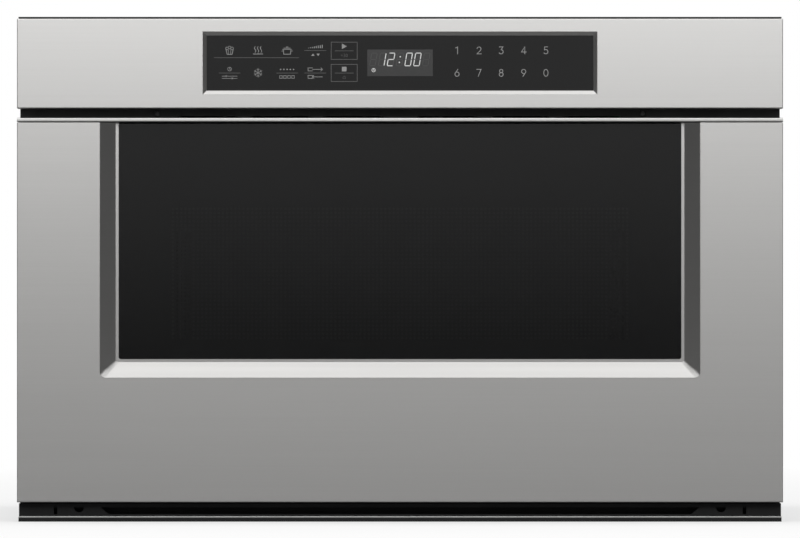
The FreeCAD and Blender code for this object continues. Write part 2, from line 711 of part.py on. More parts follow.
def make_capacitor():
    """High-voltage capacitor: an oval can on its side, held by a strap, with two tags."""
    body = piece("hv_capacitor")
    near = size("capacitor_near", 150)
    far = size("capacitor_far", 246)
    y_mid = size("capacitor_y", 256)
    half = size("capacitor_half", 17)
    low = floor_top + size("strap_thick", 1.2)
    high = low + size("capacitor_height", 52)
    strap = size("strap_sheet", 1.2)
    can_round = half - size("can_flat", 0.5)
    add(body, "yz", near, far, flattened(y_mid - half, y_mid + half, low, high, can_round))
    strap_near = near + size("strap_place", 40)
    strap_far = strap_near + size("strap_wide", 14)
    add(body, "yz", strap_near, strap_far,
        rectangle(y_mid - half - strap, y_mid + half + strap, low - strap, high + strap))
    add(body, "xy", floor_top, floor_top + strap,
        rectangle(strap_near, strap_far, y_mid - half - size("strap_foot", 14), y_mid))
    middle = (low + high) / 2
    tag_far = far + size("tag_length", 9)
    tag_offset = size("tag_offset", 7)
    for side in (1, -1):
        tag_y = y_mid + tag_offset * side
        add(body, "yz", far, tag_far,
            rectangle(tag_y - strap / 2, tag_y + strap / 2, middle, middle + strap * 5))


def make_lamp():
    """Oven lamp: a vented tin box over the cavity's holes, with the bulb in its holder inside."""
    body = piece("oven_lamp")
    low = cavity_ceiling + thin_sheet
    half = size("lamp_half", 24)
    high = low + size("lamp_height", 40)
    wall = size("lamp_wall", 0.8)
    centre = (lamp_x, lamp_y)
    add(body, "xy", low, high, rectangle(-half, half, -half, half), centre=centre)
    cut(body, "xy", low, high - wall,
        rectangle(wall - half, half - wall, wall - half, half - wall), centre=centre)
    bulb_radius = size("bulb_radius", 9)
    cap_low = high - size("bulb_cap", 14)
    add(body, "xy", cap_low, high, polygon(0, 0, bulb_radius * 0.7, 8), centre=centre)
    add(body, "xy", low + size("bulb_clear", 6), cap_low, polygon(0, 0, bulb_radius), centre=centre)


# ------------------------------------------------------------------------------------ boards
def make_boards():
    """Power board on the right side panel and mains filter board on the rear panel, with tall parts."""
    board = size("board_thick", 1.6)
    post = size("board_post", 3)
    body = piece("power_board")
    inner = chassis_half - panel_sheet
    far = inner - size("board_standoff", 8)
    front, back = -size("board_front", 150), size("board_back", 60)
    low, high = size("board_low", 120), size("board_high", 290)
    add(body, "yz", far - board, far, rectangle(front, back, low, high))
    margin = size("post_margin", 8)
    for y in (front + margin, back - margin):
        for z in (low + margin, high - margin):
            add(body, "yz", far, inner, polygon(y, z, post, 6))
    relay = size("relay_long", 28)
    relay_wide = size("relay_wide", 16)
    relay_tall = size("relay_tall", 20)
    face = far - board
    relay_front, relay_low = front + margin * 2, high - margin * 5
    first = add(body, "yz", face - relay_tall, face,
                rectangle(relay_front, relay_front + relay, relay_low, relay_low + relay_wide))
    repeat_line(body, first, "Y_Axis", relay * 1.5, 4)
    choke_half = size("mains_choke", 20)
    add(body, "yz", face - size("mains_choke_tall", 30), face,
        rectangle(-choke_half, choke_half, low + margin * 2, low + margin * 2 + choke_half * 2))
    for y in (front + relay, back - relay):
        add(body, "yz", face - relay_tall * 1.3, face, polygon(y, low + relay * 1.6, relay_wide * 0.6))

    body = piece("noise_filter_board")
    near, wide = size("filter_board_near", 190), size("filter_board_wide", 90)
    bottom, tall = size("filter_board_low", 330), size("filter_board_tall", 90)
    front_of_board = panel_front - size("filter_standoff", 9)
    add(body, "xz", front_of_board - board, front_of_board,
        rectangle(near, near + wide, bottom, bottom + tall))
    for x in (near + margin, near + wide - margin):
        for z in (bottom + margin, bottom + tall - margin):
            add(body, "xz", front_of_board, panel_front, polygon(x, z, post, 6))
    coil = size("filter_coil", 17)
    coil_x, coil_z = near + wide / 2, bottom + coil * 1.6
    add(body, "xz", front_of_board - board - relay_wide, front_of_board - board,
        polygon(coil_x, coil_z, coil), polygon(coil_x, coil_z, coil / 2))
    for x in (near + margin * 2, near + wide - margin * 2 - relay_wide):
        add(body, "xz", front_of_board - board - relay_tall, front_of_board - board,
            rectangle(x, x + relay_wide, bottom + tall - relay, bottom + tall - relay / 2))


def make_cable_gland():
    """Cable gland: a flanged bush through the rear panel. The supply cable isn't part of the model."""
    body = piece("cord_gland")
    bore = circle(gland_x, gland_level, size("gland_bore", 4.5))
    inside = panel_front - size("gland_inside", 8)
    neck = gland_radius - size("gland_neck_room", 0.1)
    add(body, "xz", inside, panel_front, polygon(gland_x, gland_level, size("gland_nut", 14), 6), bore)
    add(body, "xz", panel_front, panel_back, polygon(gland_x, gland_level, neck), bore)
    add(body, "xz", panel_back, rear_end, polygon(gland_x, gland_level, size("gland_flange", 15), 24), bore)


# ------------------------------------------------------------------------------------ slides
def channel(body, near, far, half, thick, front, back, lip):
    """A C section that opens towards the cavity: a web at far, two flanges, and a lip on each flange."""
    add(body, "yz", far - thick, far, rectangle(front, back, slide_level - half, slide_level + half))
    for side in (1, -1):
        outside = slide_level + half * side
        inside = slide_level + (half - thick) * side
        lip_edge = slide_level + (half - thick - lip) * side
        add(body, "yz", near, far - thick, rectangle(front, back, *in_order(outside, inside)))
        add(body, "yz", near, near + thick, rectangle(front, back, *in_order(inside, lip_edge)))


def make_slides():
    """Full-extension slides: outer, middle and inner members each side, and the ball cages between."""
    front = seat + size("slide_setback", 2)
    long = size("slide_length", 448)
    steel = size("slide_steel", 1.4)

    outer = piece("slide_outer_right")
    channel(outer, slide_near + size("outer_open", 1.5), slide_far, size("outer_half", 23), steel,
            front, front + long, size("outer_lip", 2.4))
    mirrored_piece("slide_outer_left", outer)

    middle = piece("slide_middle_right")
    channel(middle, slide_near + size("middle_open", 0.8), slide_far - size("middle_back", 3.6),
            size("middle_half", 17.6), steel, front + steel, front + long - size("middle_short", 8),
            size("middle_lip", 1.9))
    mirrored_piece("slide_middle_left", middle)

    inner = piece("slide_inner_right")
    web_far = slide_near + steel
    inner_half = size("inner_half", 11)
    add(inner, "yz", slide_near, web_far,
        rectangle(front, front + long, slide_level - inner_half, slide_level + inner_half))
    flange_far = slide_near + size("inner_wide", 5.4)
    for side in (1, -1):
        edges = in_order(slide_level + inner_half * side, slide_level + (inner_half - steel) * side)
        add(inner, "yz", web_far, flange_far, rectangle(front, front + long, *edges))
    # The tongue that passes the frame, and the plate that bolts to the drawer front.
    add(inner, "yz", slide_near, web_far,
        rectangle(door_back + steel, front, slide_level - inner_half, slide_level + inner_half))
    plate_in = slide_near - size("slide_plate_in", 3)
    plate_out = slide_far + size("slide_plate_out", 8)
    plate_half = size("slide_plate_half", 22)
    add(inner, "xz", door_back, door_back + steel,
        rectangle(plate_in, plate_out, slide_level - plate_half, slide_level + plate_half))
    mirrored_piece("slide_inner_left", inner)

    cage_steel = size("cage_steel", 0.8)
    cages = (("outer_ball_cages", 3.6, 10.2, 20.0, -140), ("inner_ball_cages", 2.6, 6.6, 14.2, -138))
    for name, near, far, half, start in cages:
        cage = piece(name)
        near = slide_near + size(f"{name}_near", near)
        far = slide_near + size(f"{name}_far", far)
        half = size(f"{name}_half", half)
        start = size(f"{name}_start", start)
        end = start + size(f"{name}_long", 216)
        web = add(cage, "yz", far - cage_steel, far,
                  rectangle(start, end, slide_level - half, slide_level + half))
        flanges = []
        for side in (1, -1):
            edges = in_order(slide_level + half * side, slide_level + (half - cage_steel) * side)
            flanges.append(add(cage, "yz", near, far - cage_steel, rectangle(start, end, *edges)))
        mirror_features(cage, [web, *flanges])


def make_slide_brackets():
    """Slide brackets: two angled sheets on the base that carry the outer members."""
    body = piece("slide_brackets")
    sheet_thick = size("bracket_sheet", 1.5)
    foot = size("bracket_foot", 22)
    front = seat + size("bracket_setback", 2)
    back = front + size("bracket_long", 446)
    top = slide_level + size("bracket_above", 30)
    far = slide_far + sheet_thick
    upright = add(body, "yz", slide_far, far, rectangle(front, back, floor_top, top))
    toe = add(body, "xy", floor_top, floor_top + sheet_thick, rectangle(far, far + foot, front, back))
    start = front + size("window_start", 34)
    wide, pitch = size("window_wide", 106), size("window_pitch", 136)
    low, high = size("window_low", 40), size("window_high", 160)
    windows = cut(body, "yz", slide_far, far,
                  *[rectangle(start + pitch * i, start + pitch * i + wide, low, high) for i in range(3)])
    mirror_features(body, [upright, toe, windows])


# ------------------------------------------------------------------------------------ drive
PRESSURE_ANGLE = math.radians(20)
ADDENDUM, DEDENDUM = 0.8, 1.05  # stub teeth, in modules
BACKLASH = 0.16  # taken off each tooth at the pitch circle


def involute(angle):
    return math.tan(angle) - angle


def tooth_gap(module, teeth, phase):
    """The space between two teeth, about the gear's centre: involute flanks from root to past the tip."""
    pitch_radius = module * teeth / 2
    base = pitch_radius * math.cos(PRESSURE_ANGLE)
    root = pitch_radius - DEDENDUM * module
    tip = pitch_radius + ADDENDUM * module
    # Only on a pinion does the flank's curve show.
    radii = [root, base, (base + tip) / 2, tip] if teeth < 20 else [root, tip]
    radii.append(tip + module * 0.4)
    flank = []
    for radius in radii:
        unwound = involute(PRESSURE_ANGLE) - involute(math.acos(min(1, base / radius)))
        half_tooth = math.pi / (2 * teeth) - BACKLASH / (2 * pitch_radius) + unwound
        flank.append((radius, math.pi / teeth - half_tooth))
    loop = [(radius, phase + angle) for radius, angle in flank]
    loop += [(radius, phase - angle) for radius, angle in reversed(flank)]
    return [Vector(radius * math.cos(angle), radius * math.sin(angle), 0) for radius, angle in loop]


def cut_teeth(body, low, high, centre, module, teeth, phase):
    """Cuts one tooth space with a formula's outline and repeats it round the gear."""
    pocket = body.newObject("PartDesign::Pocket", f"{body.Name}_tooth")
    sketch = sketch_on(body, "yz", high, [], centre)
    points = tooth_gap(module, teeth, phase)
    for start, end in zip(points, points[1:] + points[:1]):
        edge = sketch.addGeometry(Part.LineSegment(start, end), False)
        sketch.addConstraint(Sketcher.Constraint("Block", edge))
    pocket.Profile = sketch
    bind(pocket, "Length", high - low)
    body.Tip = pocket
    repeat_round(body, teeth, pocket)


def gear(body, low, high, centre, module, teeth, phase):
    """A toothed disc, its teeth cut before the next disc joins it."""
    tip = size(f"{body.Name}_tip_{teeth}", module * (teeth / 2 + ADDENDUM))
    add(body, "yz", low, high, circle(0, 0, tip), centre=centre)
    cut_teeth(body, low, high, centre, module, teeth, phase)


RACK_MODULE, PINION_TEETH = 2, 14
WHEEL_MODULE, WHEEL_TEETH, SECOND_PINION_TEETH = 1.25, 36, 12
FIRST_MODULE, SECOND_WHEEL_TEETH, MOTOR_TEETH = 1, 40, 12


def make_drive():
    """Drive under the cavity: motor pinion, reduction gear, and the output gear that moves the rack."""
    level = size("gear_level", 76)
    output_y = size("output_y", -222)
    reduction_distance = WHEEL_MODULE * (WHEEL_TEETH + SECOND_PINION_TEETH) / 2
    motor_distance = FIRST_MODULE * (SECOND_WHEEL_TEETH + MOTOR_TEETH) / 2
    reduction_y = output_y + size("output_to_reduction", reduction_distance)
    motor_y = reduction_y + size("reduction_to_motor", motor_distance)
    bore_room = size("gear_bore_room", 0.06)
    axle = size("gear_axle", 4)
    pinion_half = size("pinion_half", 7.5)
    wheel_near, wheel_far = size("wheel_near", 16), size("wheel_far", 22)
    second_near, second_far = size("second_near", 24), size("second_far", 30)
    upwards, towards_front = math.pi / 2, math.pi
    wall = size("drive_wall", 1.5)
    left_in, right_in = -size("bracket_left", 17), size("bracket_right", 32)
    end_play = size("gear_end_play", 0.4)
    hub = size("gear_hub", 6)

    output = piece("output_gear")
    centre = (output_y, level)
    gear(output, -pinion_half, pinion_half, centre, RACK_MODULE, PINION_TEETH,
         upwards + math.pi / PINION_TEETH)
    add(output, "yz", pinion_half, wheel_near, polygon(0, 0, size("output_hub", 8)), centre=centre)
    gear(output, wheel_near, wheel_far, centre, WHEEL_MODULE, WHEEL_TEETH, 0)
    add(output, "yz", left_in + end_play, -pinion_half, polygon(0, 0, hub), centre=centre)
    add(output, "yz", wheel_far, right_in - end_play, polygon(0, 0, hub), centre=centre)
    cut(output, "yz", left_in, right_in, circle(0, 0, axle + bore_room), centre=centre)

    reduction = piece("reduction_gear")
    centre = (reduction_y, level)
    gear(reduction, wheel_near, wheel_far, centre, WHEEL_MODULE, SECOND_PINION_TEETH,
         towards_front + math.pi / SECOND_PINION_TEETH)
    add(reduction, "yz", wheel_far, second_near, polygon(0, 0, size("reduction_hub", 6.1)), centre=centre)
    gear(reduction, second_near, second_far, centre, FIRST_MODULE, SECOND_WHEEL_TEETH, 0)
    small_axle = size("reduction_axle", 3)
    add(reduction, "yz", left_in + end_play, wheel_near, polygon(0, 0, hub - small_axle / 3), centre=centre)
    add(reduction, "yz", second_far, right_in - end_play, polygon(0, 0, hub - small_axle / 3), centre=centre)
    cut(reduction, "yz", left_in, right_in, circle(0, 0, small_axle + bore_room), centre=centre)

    pinion = piece("motor_pinion")
    centre = (motor_y, level)
    shaft = size("motor_shaft", 2.5)
    shaft_far = size("motor_shaft_far", 46)
    gear(pinion, second_near, second_far, centre, FIRST_MODULE, MOTOR_TEETH,
         towards_front + math.pi / MOTOR_TEETH)
    add(pinion, "yz", second_far, shaft_far, circle(0, 0, shaft), centre=centre)

    bracket = piece("drive_bracket")
    front, back = output_y - size("bracket_front", 18), motor_y + size("bracket_back", 20)
    top = level + size("bracket_top", 17)
    web_top = level - size("web_below", 18)
    toe = size("drive_toe", 20)
    add(bracket, "xy", floor_top, top,
        [(left_in - wall, front, None), (left_in, front, None), (left_in, back - wall, None),
         (right_in, back - wall, None), (right_in, front, None), (right_in + wall, front, None),
         (right_in + wall, back, None), (left_in - wall, back, None)])
    cut(bracket, "xz", back - wall, back, rectangle(left_in, right_in, web_top, top))
    left_out, right_out = left_in - wall, right_in + wall
    add(bracket, "xy", floor_top, floor_top + wall, rectangle(left_out - toe, left_out, front, back))
    add(bracket, "xy", floor_top, floor_top + wall, rectangle(right_out, right_out + toe, front, back))
    cut(bracket, "yz", right_in, right_in + wall, polygon(motor_y, level, size("motor_boss_hole", 6)))
    # The two axles are riveted flush into the bracket's walls.
    for y, radius in ((output_y, axle), (reduction_y, small_axle)):
        add(bracket, "yz", left_in - wall, right_in + wall, circle(y, level, radius))

    motor = piece("drive_motor")
    face = right_in + wall
    can = size("motor_can", 17)
    flat = size("motor_flat", 24)
    gearbox_far = face + size("gearbox_long", 22)
    motor_far = gearbox_far + size("motor_long", 40)
    add(motor, "yz", face, gearbox_far, rectangle(-can, can, -can, flat - can),
        circle(0, 0, shaft + bore_room), centre=(motor_y, level))
    offset = -size("can_offset", 2)
    add(motor, "yz", gearbox_far, motor_far, polygon(0, offset, can - size("can_less", 4), 16),
        centre=(motor_y, level))
    add(motor, "yz", motor_far, motor_far + size("motor_cap", 4), polygon(0, offset, size("cap_radius", 5)),
        centre=(motor_y, level))

    rack = piece("drawer_rack")
    pitch_line = level + size("pitch_radius", RACK_MODULE * PINION_TEETH / 2)
    tooth_half = size("rack_tooth_half", 8)
    rail_half = size("rack_rail_half", 11)
    teeth_low = pitch_line - size("rack_addendum", RACK_MODULE * ADDENDUM)
    shoulder = level + size("rack_shoulder", 22)
    rail_top = level + size("rack_rail_top", 28)
    rack_back = size("rack_back", 181)
    plate = size("rack_plate", 1.5)
    rack_front = door_back + plate
    add(rack, "yz", -rail_half, rail_half, rectangle(rack_front, rack_back, shoulder, rail_top))
    add(rack, "yz", -tooth_half, tooth_half, rectangle(rack_front, rack_back, teeth_low, shoulder))
    add(rack, "xz", door_back, rack_front,
        block_rectangle(size("rack_plate_half", 26), size("rack_plate_low", 82),
                        size("rack_plate_high", 106)))
    tooth_pitch = math.pi * RACK_MODULE
    first_gap = output_y - size("first_gap", 4 * tooth_pitch)
    half_gap = math.pi * RACK_MODULE / 4 + BACKLASH / 2
    slope = math.tan(PRESSURE_ANGLE)
    low_z, high_z = -ADDENDUM * RACK_MODULE, DEDENDUM * RACK_MODULE
    gap_low = size("gap_half_low", half_gap - low_z * slope)
    gap_high = size("gap_half_high", half_gap - high_z * slope)
    gap_top = pitch_line + size("rack_dedendum", high_z)
    gap = cut(rack, "yz", -tooth_half, tooth_half,
              [(-gap_low, teeth_low, None), (gap_low, teeth_low, None), (gap_high, gap_top, None),
               (-gap_high, gap_top, None)], centre=(first_gap, 0))
    repeat_line(rack, gap, "Y_Axis", size("rack_pitch", tooth_pitch), 68)

    guide = piece("rack_guide")
    guide_half_in = size("guide_inside", 12.6)
    guide_wall = size("guide_wall", 1.4)
    guide_low = level + size("guide_low", 19.4)
    lip_top = guide_low + guide_wall
    under = cavity_floor - thin_sheet
    inner, outer = guide_half_in, guide_half_in + guide_wall
    lip = size("guide_lip", 3.6)
    add(guide, "xz", seat + size("guide_front", 3), size("guide_rear", 196),
        [(-outer, guide_low, None), (lip - inner, guide_low, None), (lip - inner, lip_top, None),
         (-inner, lip_top, None), (-inner, under - guide_wall, None), (inner, under - guide_wall, None),
         (inner, lip_top, None), (inner - lip, lip_top, None), (inner - lip, guide_low, None),
         (outer, guide_low, None), (outer, under, None), (-outer, under, None)])


def make_interlocks():
    """Door interlocks: a switch stack each side behind the frame, and the drawer's hooks that reach them."""
    body = piece("interlock_switches")
    near = latch_x + size("switch_gap", 3.4)
    far = near + size("switch_wide", 18)
    plate = size("switch_plate", 1.2)
    front = seat
    back = front + size("switch_long", 44)
    low, high = latch_level - size("switch_low", 24), latch_level + size("switch_high", 24)
    bracket = add(body, "xy", low, high,
                  [(near, front, None), (far + plate, front, None), (far + plate, back, None),
                   (far, back, None), (far, front + plate, None), (near, front + plate, None)])
    tall, pitch = size("switch_tall", 10), size("switch_pitch", 16)
    lows = [low + plate + pitch * i for i in range(3)]
    cases = add(body, "xz", front + plate * 3, back - plate * 3,
                *[rectangle(near + plate * 2, far, level, level + tall) for level in lows])
    buttons = add(body, "xz", front + plate * 8, front + plate * 11,
                  *[rectangle(near + plate, near + plate * 2, level + tall * 0.4, level + tall * 0.6)
                    for level in lows])
    mirror_features(body, [bracket, cases, buttons])

    hooks = piece("latch_hooks")
    thick = size("hook_half", 1.6)
    hook_half = size("hook_tall", 6)
    hook_back = seat + size("hook_reach", 26)
    base = size("hook_base", 9)
    shank = add(hooks, "yz", latch_x - thick, latch_x + thick,
                rectangle(door_back + plate, hook_back, latch_level - hook_half, latch_level + hook_half))
    notch = cut(hooks, "yz", latch_x - thick, latch_x + thick,
                rectangle(hook_back - size("notch_far", 16), hook_back - size("notch_near", 8), latch_level,
                          latch_level + hook_half))
    foot = add(hooks, "xz", door_back, door_back + plate,
               rectangle(latch_x - base, latch_x + base, latch_level - base * 1.5, latch_level + base * 1.5))
    mirror_features(hooks, [shank, notch, foot])


# ------------------------------------------------------------------------------------ control panel
def make_control_panel():
    """Control panel: a folded steel front with a bevelled frame, the touch glass and the electronics."""
    shell_back = frame_front
    fascia = piece("control_fascia")
    outer = block_rectangle(front_half, control_bottom, control_top)
    add(fascia, "xz", front_face, shell_back, outer)
    cut(fascia, "xz", front_face + skin, shell_back,
        block_rectangle(front_half - skin, control_bottom + skin, control_top - skin))
    opening = block_rectangle(panel_half, panel_low, panel_high)
    cut(fascia, "xz", front_face, front_face + skin, opening)
    round_edges(fascia, size("fascia_round", 1),
                lambda edge: runs_along(edge, X_WAY, ("y", front_face), ("z", control_top)) or
                runs_along(edge, X_WAY, ("y", front_face), ("z", control_bottom)) or
                runs_along(edge, Z_WAY, ("y", front_face), ("x", front_half)))

    bezel = piece("control_bezel")
    room = size("bezel_room", 0.1)
    bevel = size("bevel_wide", 4)
    slope_end = front_face + size("bevel_deep", 3.2)
    bezel_back = slope_end + size("bezel_land", 1.2)
    edge_half, edge_low, edge_high = panel_half - room, panel_low + room, panel_high - room
    add(bezel, "xz", front_face, bezel_back, block_rectangle(edge_half, edge_low, edge_high))
    inner = block_rectangle(edge_half - bevel, edge_low + bevel, edge_high - bevel)
    rim = size("bezel_rim", 0.2)
    slope_start = block_rectangle(edge_half - rim, edge_low + rim, edge_high - rim)
    funnel(bezel, slope_start, inner, front_face, slope_end)
    cut(bezel, "xz", front_face, bezel_back, inner)

    glass = piece("touch_glass")
    glass_back = bezel_back + size("touch_glass_thick", 3)
    inset = size("touch_glass_inset", 1)
    add(glass, "xz", bezel_back, glass_back,
        flattened(inset - edge_half, edge_half - inset, edge_low + inset, edge_high - inset,
                  size("touch_glass_round", 2)))

    display = piece("display_module")
    display_half = size("display_half", 37)
    display_low, display_high = size("display_low", 438), size("display_high", 471)
    display_back = glass_back + size("display_deep", 9)
    add(display, "xz", glass_back, display_back,
        block_rectangle(display_half, display_low, display_high))
    pin_row = size("display_pins", 30)
    add(display, "xz", display_back, display_back + size("pin_long", 3),
        block_rectangle(pin_row, display_low + size("pin_row_low", 2),
                        display_low + size("pin_row_high", 4)))

    board = piece("control_board")
    board_front = display_back + size("display_pin_gap", 3)
    board_thick = size("control_board_thick", 1.6)
    board_back = board_front + board_thick
    board_half = panel_half - size("board_inset", 8)
    board_low, board_high = panel_low + size("board_inset_low", 5), panel_high - size("board_inset_high", 5)
    add(board, "xz", board_front, board_back, block_rectangle(board_half, board_low, board_high))
    socket_tall = size("socket_tall", 8)
    socket = add(board, "xz", board_back, board_back + socket_tall,
                 rectangle(-size("socket_left", 60), -size("socket_right", 40), board_low + socket_tall,
                           board_low + socket_tall * 2))
    repeat_line(board, socket, "X_Axis", size("socket_pitch", 40), 4)
    spacer = size("key_spacer", 3)
    spacer_front = glass_back + size("spacer_gap", 1)
    for side in (1, -1):
        add(board, "xz", spacer_front, board_front,
            polygon(board_half * side - spacer * side * 2, (board_low + board_high) / 2, spacer, 6))

    carrier = piece("control_carrier")
    wall = size("carrier_wall", 2)
    out_half = panel_half + size("carrier_wide", 6)
    out_low, out_high = panel_low - size("carrier_low", 6), panel_high + size("carrier_high", 6)
    carrier_back = board_back + size("carrier_room", 11)
    add(carrier, "xz", glass_back, carrier_back, block_rectangle(out_half, out_low, out_high))
    cut(carrier, "xz", glass_back, carrier_back - wall,
        block_rectangle(out_half - wall, out_low + wall, out_high - wall))
    slot_half = size("carrier_slot_half", 55)
    cut(carrier, "xz", carrier_back - wall, carrier_back,
        block_rectangle(slot_half, out_low + wall * 4, out_high - wall * 4))
    # Fixing tabs run to the front frame.
    tab_wide, tab_tall = size("tab_wide", 16), size("tab_tall", 8)
    tab_low = out_low + wall * 4
    starts = [slot_half + wall * 4, slot_half + size("tab_pitch", 90)]
    tabs = add(carrier, "xz", carrier_back, frame_front,
               *[rectangle(start, start + tab_wide, tab_low, tab_low + tab_tall) for start in starts])
    mirror_features(carrier, [tabs])


# ------------------------------------------------------------------------------------ drawer front
def window_outline(half, low, radius):
    """The window: rounded at its two lower corners and open past the top of the steel front."""
    high = door_top + window_over
    return [(-half, low, radius), (half, low, radius), (half, high, None), (-half, high, None)]


def make_drawer_front():
    """Drawer front: a folded steel skin round a deep bevelled window, with a bright bar along its top."""
    bar_low = door_top - size("bar_height", 4)
    skin_top = bar_low - size("bar_gap", 0.7)
    window_half = size("window_half", 297.7)
    window_bottom = size("window_bottom", 142.2)
    corner = size("window_corner", 6)
    panel_start = door_back - panel_sheet

    front = piece("door_skin")
    add(front, "xz", front_face, panel_start, block_rectangle(front_half, door_bottom, skin_top))
    cut(front, "xz", front_face + skin, panel_start,
        block_rectangle(front_half - skin, door_bottom + skin, skin_top - skin))
    cut(front, "xz", front_face, front_face + skin, window_outline(window_half, window_bottom, corner))
    cut(front, "xz", front_face, panel_start,
        rectangle(-window_half, window_half, skin_top - skin * 2, door_top))
    round_edges(front, size("door_round", 1),
                lambda edge: runs_along(edge, X_WAY, ("y", front_face), ("z", door_bottom)) or
                runs_along(edge, Z_WAY, ("y", front_face), ("x", front_half)))

    bar = piece("door_top_trim")
    add(bar, "yz", -front_half, front_half, rectangle(front_face, panel_start, bar_low, door_top))
    round_edges(bar, size("bar_round", 1.2),
                lambda edge: runs_along(edge, X_WAY, ("y", front_face)))

    bezel = piece("window_bezel")
    room = size("window_room", 0.1)
    bevel = size("window_bevel", 15.6)
    lip = size("window_lip", 2.9)
    land = front_face + size("window_deep", 12)
    bezel_back = land + size("window_land", 1.5)
    rim = size("window_rim", 0.3)
    edge_half, edge_low = window_half - room, window_bottom + room
    add(bezel, "xz", front_face, bezel_back, window_outline(edge_half, edge_low, corner - room))
    inner_corner = size("window_inner_corner", 3.5)
    funnel(bezel, window_outline(edge_half - rim, edge_low + rim, corner - room - rim),
           window_outline(edge_half - bevel, edge_low + bevel, inner_corner), front_face, land)
    cut(bezel, "xz", front_face, bezel_back,
        window_outline(edge_half - bevel - lip, edge_low + bevel + lip, size("glass_corner", 2.5)))
    cut(bezel, "xz", front_face, bezel_back, block_rectangle(front_half, skin_top, door_top * 1.1))

    glass = piece("door_glass")
    glass_thick = size("door_glass_thick", 5)
    glass_cover = size("glass_cover", 6)
    glass_half = edge_half - bevel - lip + glass_cover
    add(glass, "xz", bezel_back, bezel_back + glass_thick,
        flattened(-glass_half, glass_half, edge_low + bevel + lip - glass_cover, skin_top - skin,
                  size("glass_round", 3)))

    back = piece("door_inner_panel")
    inset = size("inner_panel_inset", 1.6)
    add(back, "xz", panel_start, door_back,
        block_rectangle(front_half - inset, door_bottom + inset, skin_top - inset),
        block_rectangle(choke_half + room, choke_low - room, choke_high + room))

    bumpers = piece("door_bumpers")
    bumper_x = size("bumper_x", 340)
    bumper_low, bumper_high = size("bumper_low", 45), size("bumper_high", 375)
    bumper_radius = size("bumper_radius", 6)
    discs = [polygon(bumper_x * side, level, bumper_radius)
             for side in (1, -1) for level in (bumper_low, bumper_high)]
    add(bumpers, "xz", door_back, frame_front - size("bumper_clear", 0.3), *discs)


def make_choke():
    """Microwave seal: a pressed frame with a deep groove, the window's screen, and a groove cover."""
    frame = piece("door_choke_frame")
    choke_front = door_back - size("choke_deep", 20)
    plate_front = door_back - size("choke_plate", 3)
    sheet_thick = size("choke_sheet", 1.2)
    groove_wide = size("groove_wide", 12)
    groove_out = choke_half - size("groove_edge", 2)
    add(frame, "xz", choke_front, door_back, block_rectangle(choke_half, choke_low, choke_high))
    edge = size("groove_edge_z", 2)
    outer = block_rectangle(groove_out, choke_low + edge, choke_high - edge)
    groove_inner = block_rectangle(groove_out - groove_wide, choke_low + edge + groove_wide,
                                   choke_high - edge - groove_wide)
    cut(frame, "xz", choke_front + sheet_thick, door_back, outer, groove_inner)
    hollow_half = groove_out - groove_wide - sheet_thick
    hollow_low = choke_low + edge + groove_wide + sheet_thick
    hollow_high = choke_high - edge - groove_wide - sheet_thick
    cut(frame, "xz", choke_front, plate_front, block_rectangle(hollow_half, hollow_low, hollow_high))
    cut(frame, "xz", plate_front + sheet_thick, door_back,
        block_rectangle(hollow_half, hollow_low, hollow_high))
    cut(frame, "xz", plate_front, plate_front + sheet_thick,
        block_rectangle(screen_half, screen_low, screen_high, size("screen_round", 5)))

    screen = piece("window_screen")
    overlap = size("screen_overlap", 6)
    add(screen, "xz", plate_front - size("screen_sheet", 0.8), plate_front,
        block_rectangle(screen_half + overlap, screen_low - overlap, screen_high + overlap))
    cover = piece("choke_cover")
    add(cover, "xz", door_back, door_back + size("cover_thick", 1.4),
        block_rectangle(choke_half - size("cover_edge", 0.5), choke_low + size("cover_edge_z", 0.5),
                        choke_high - size("cover_edge_top", 0.5)),
        block_rectangle(hollow_half, hollow_low, hollow_high))
    return plate_front + sheet_thick


def make_drawer_box(box_front):
    """Drawer box: a floor with a glass tray, two double-walled sides with rolled rims, and a rear wall."""
    wall_out = size("box_half", 224)
    wall_thick = size("box_wall", 6)
    sheet_thick = size("box_sheet", 1.2)
    floor_low = size("box_floor", 124)
    floor_high = floor_low + size("box_floor_sheet", 1.5)
    rim = size("box_rim", 290)
    rear = size("box_rear", 190)

    floor = piece("drawer_floor")
    add(floor, "xy", floor_low, floor_high, rectangle(-wall_out, wall_out, box_front, rear))
    rib = add(floor, "xy", floor_low - size("rib_deep", 2.5), floor_low,
              rectangle(-size("rib_left", 170), -size("rib_right", 164), box_front + wall_thick * 3,
                        rear - wall_thick * 3))
    repeat_line(floor, rib, "X_Axis", size("rib_pitch", 111.3), 4)

    side = piece("drawer_side_right")
    inner = wall_out - wall_thick
    add(side, "xz", box_front, rear - wall_thick,
        [(inner, floor_high, None), (inner + sheet_thick, floor_high, None),
         (inner + sheet_thick, rim - sheet_thick, None),
         (wall_out - sheet_thick, rim - sheet_thick, None), (wall_out - sheet_thick, floor_high, None),
         (wall_out, floor_high, None), (wall_out, rim, size("rim_round", 2.5)),
         (inner, rim, size("rim_round_in", 2.5))])
    mirrored_piece("drawer_side_left", side)

    back = piece("drawer_rear")
    near = rear - wall_thick
    add(back, "yz", -wall_out, wall_out,
        [(near, floor_high, None), (near + sheet_thick, floor_high, None),
         (near + sheet_thick, rim - sheet_thick, None), (rear - sheet_thick, rim - sheet_thick, None),
         (rear - sheet_thick, floor_high, None), (rear, floor_high, None),
         (rear, rim, size("rear_rim", 2.5)), (near, rim, size("rear_rim_in", 2.5))])

    tray = piece("glass_tray")
    room = size("tray_room", 1)
    add(tray, "xy", floor_high, floor_high + size("tray_thick", 5),
        rectangle(room - inner, inner - room, box_front + room, near - room, size("tray_round", 10)))


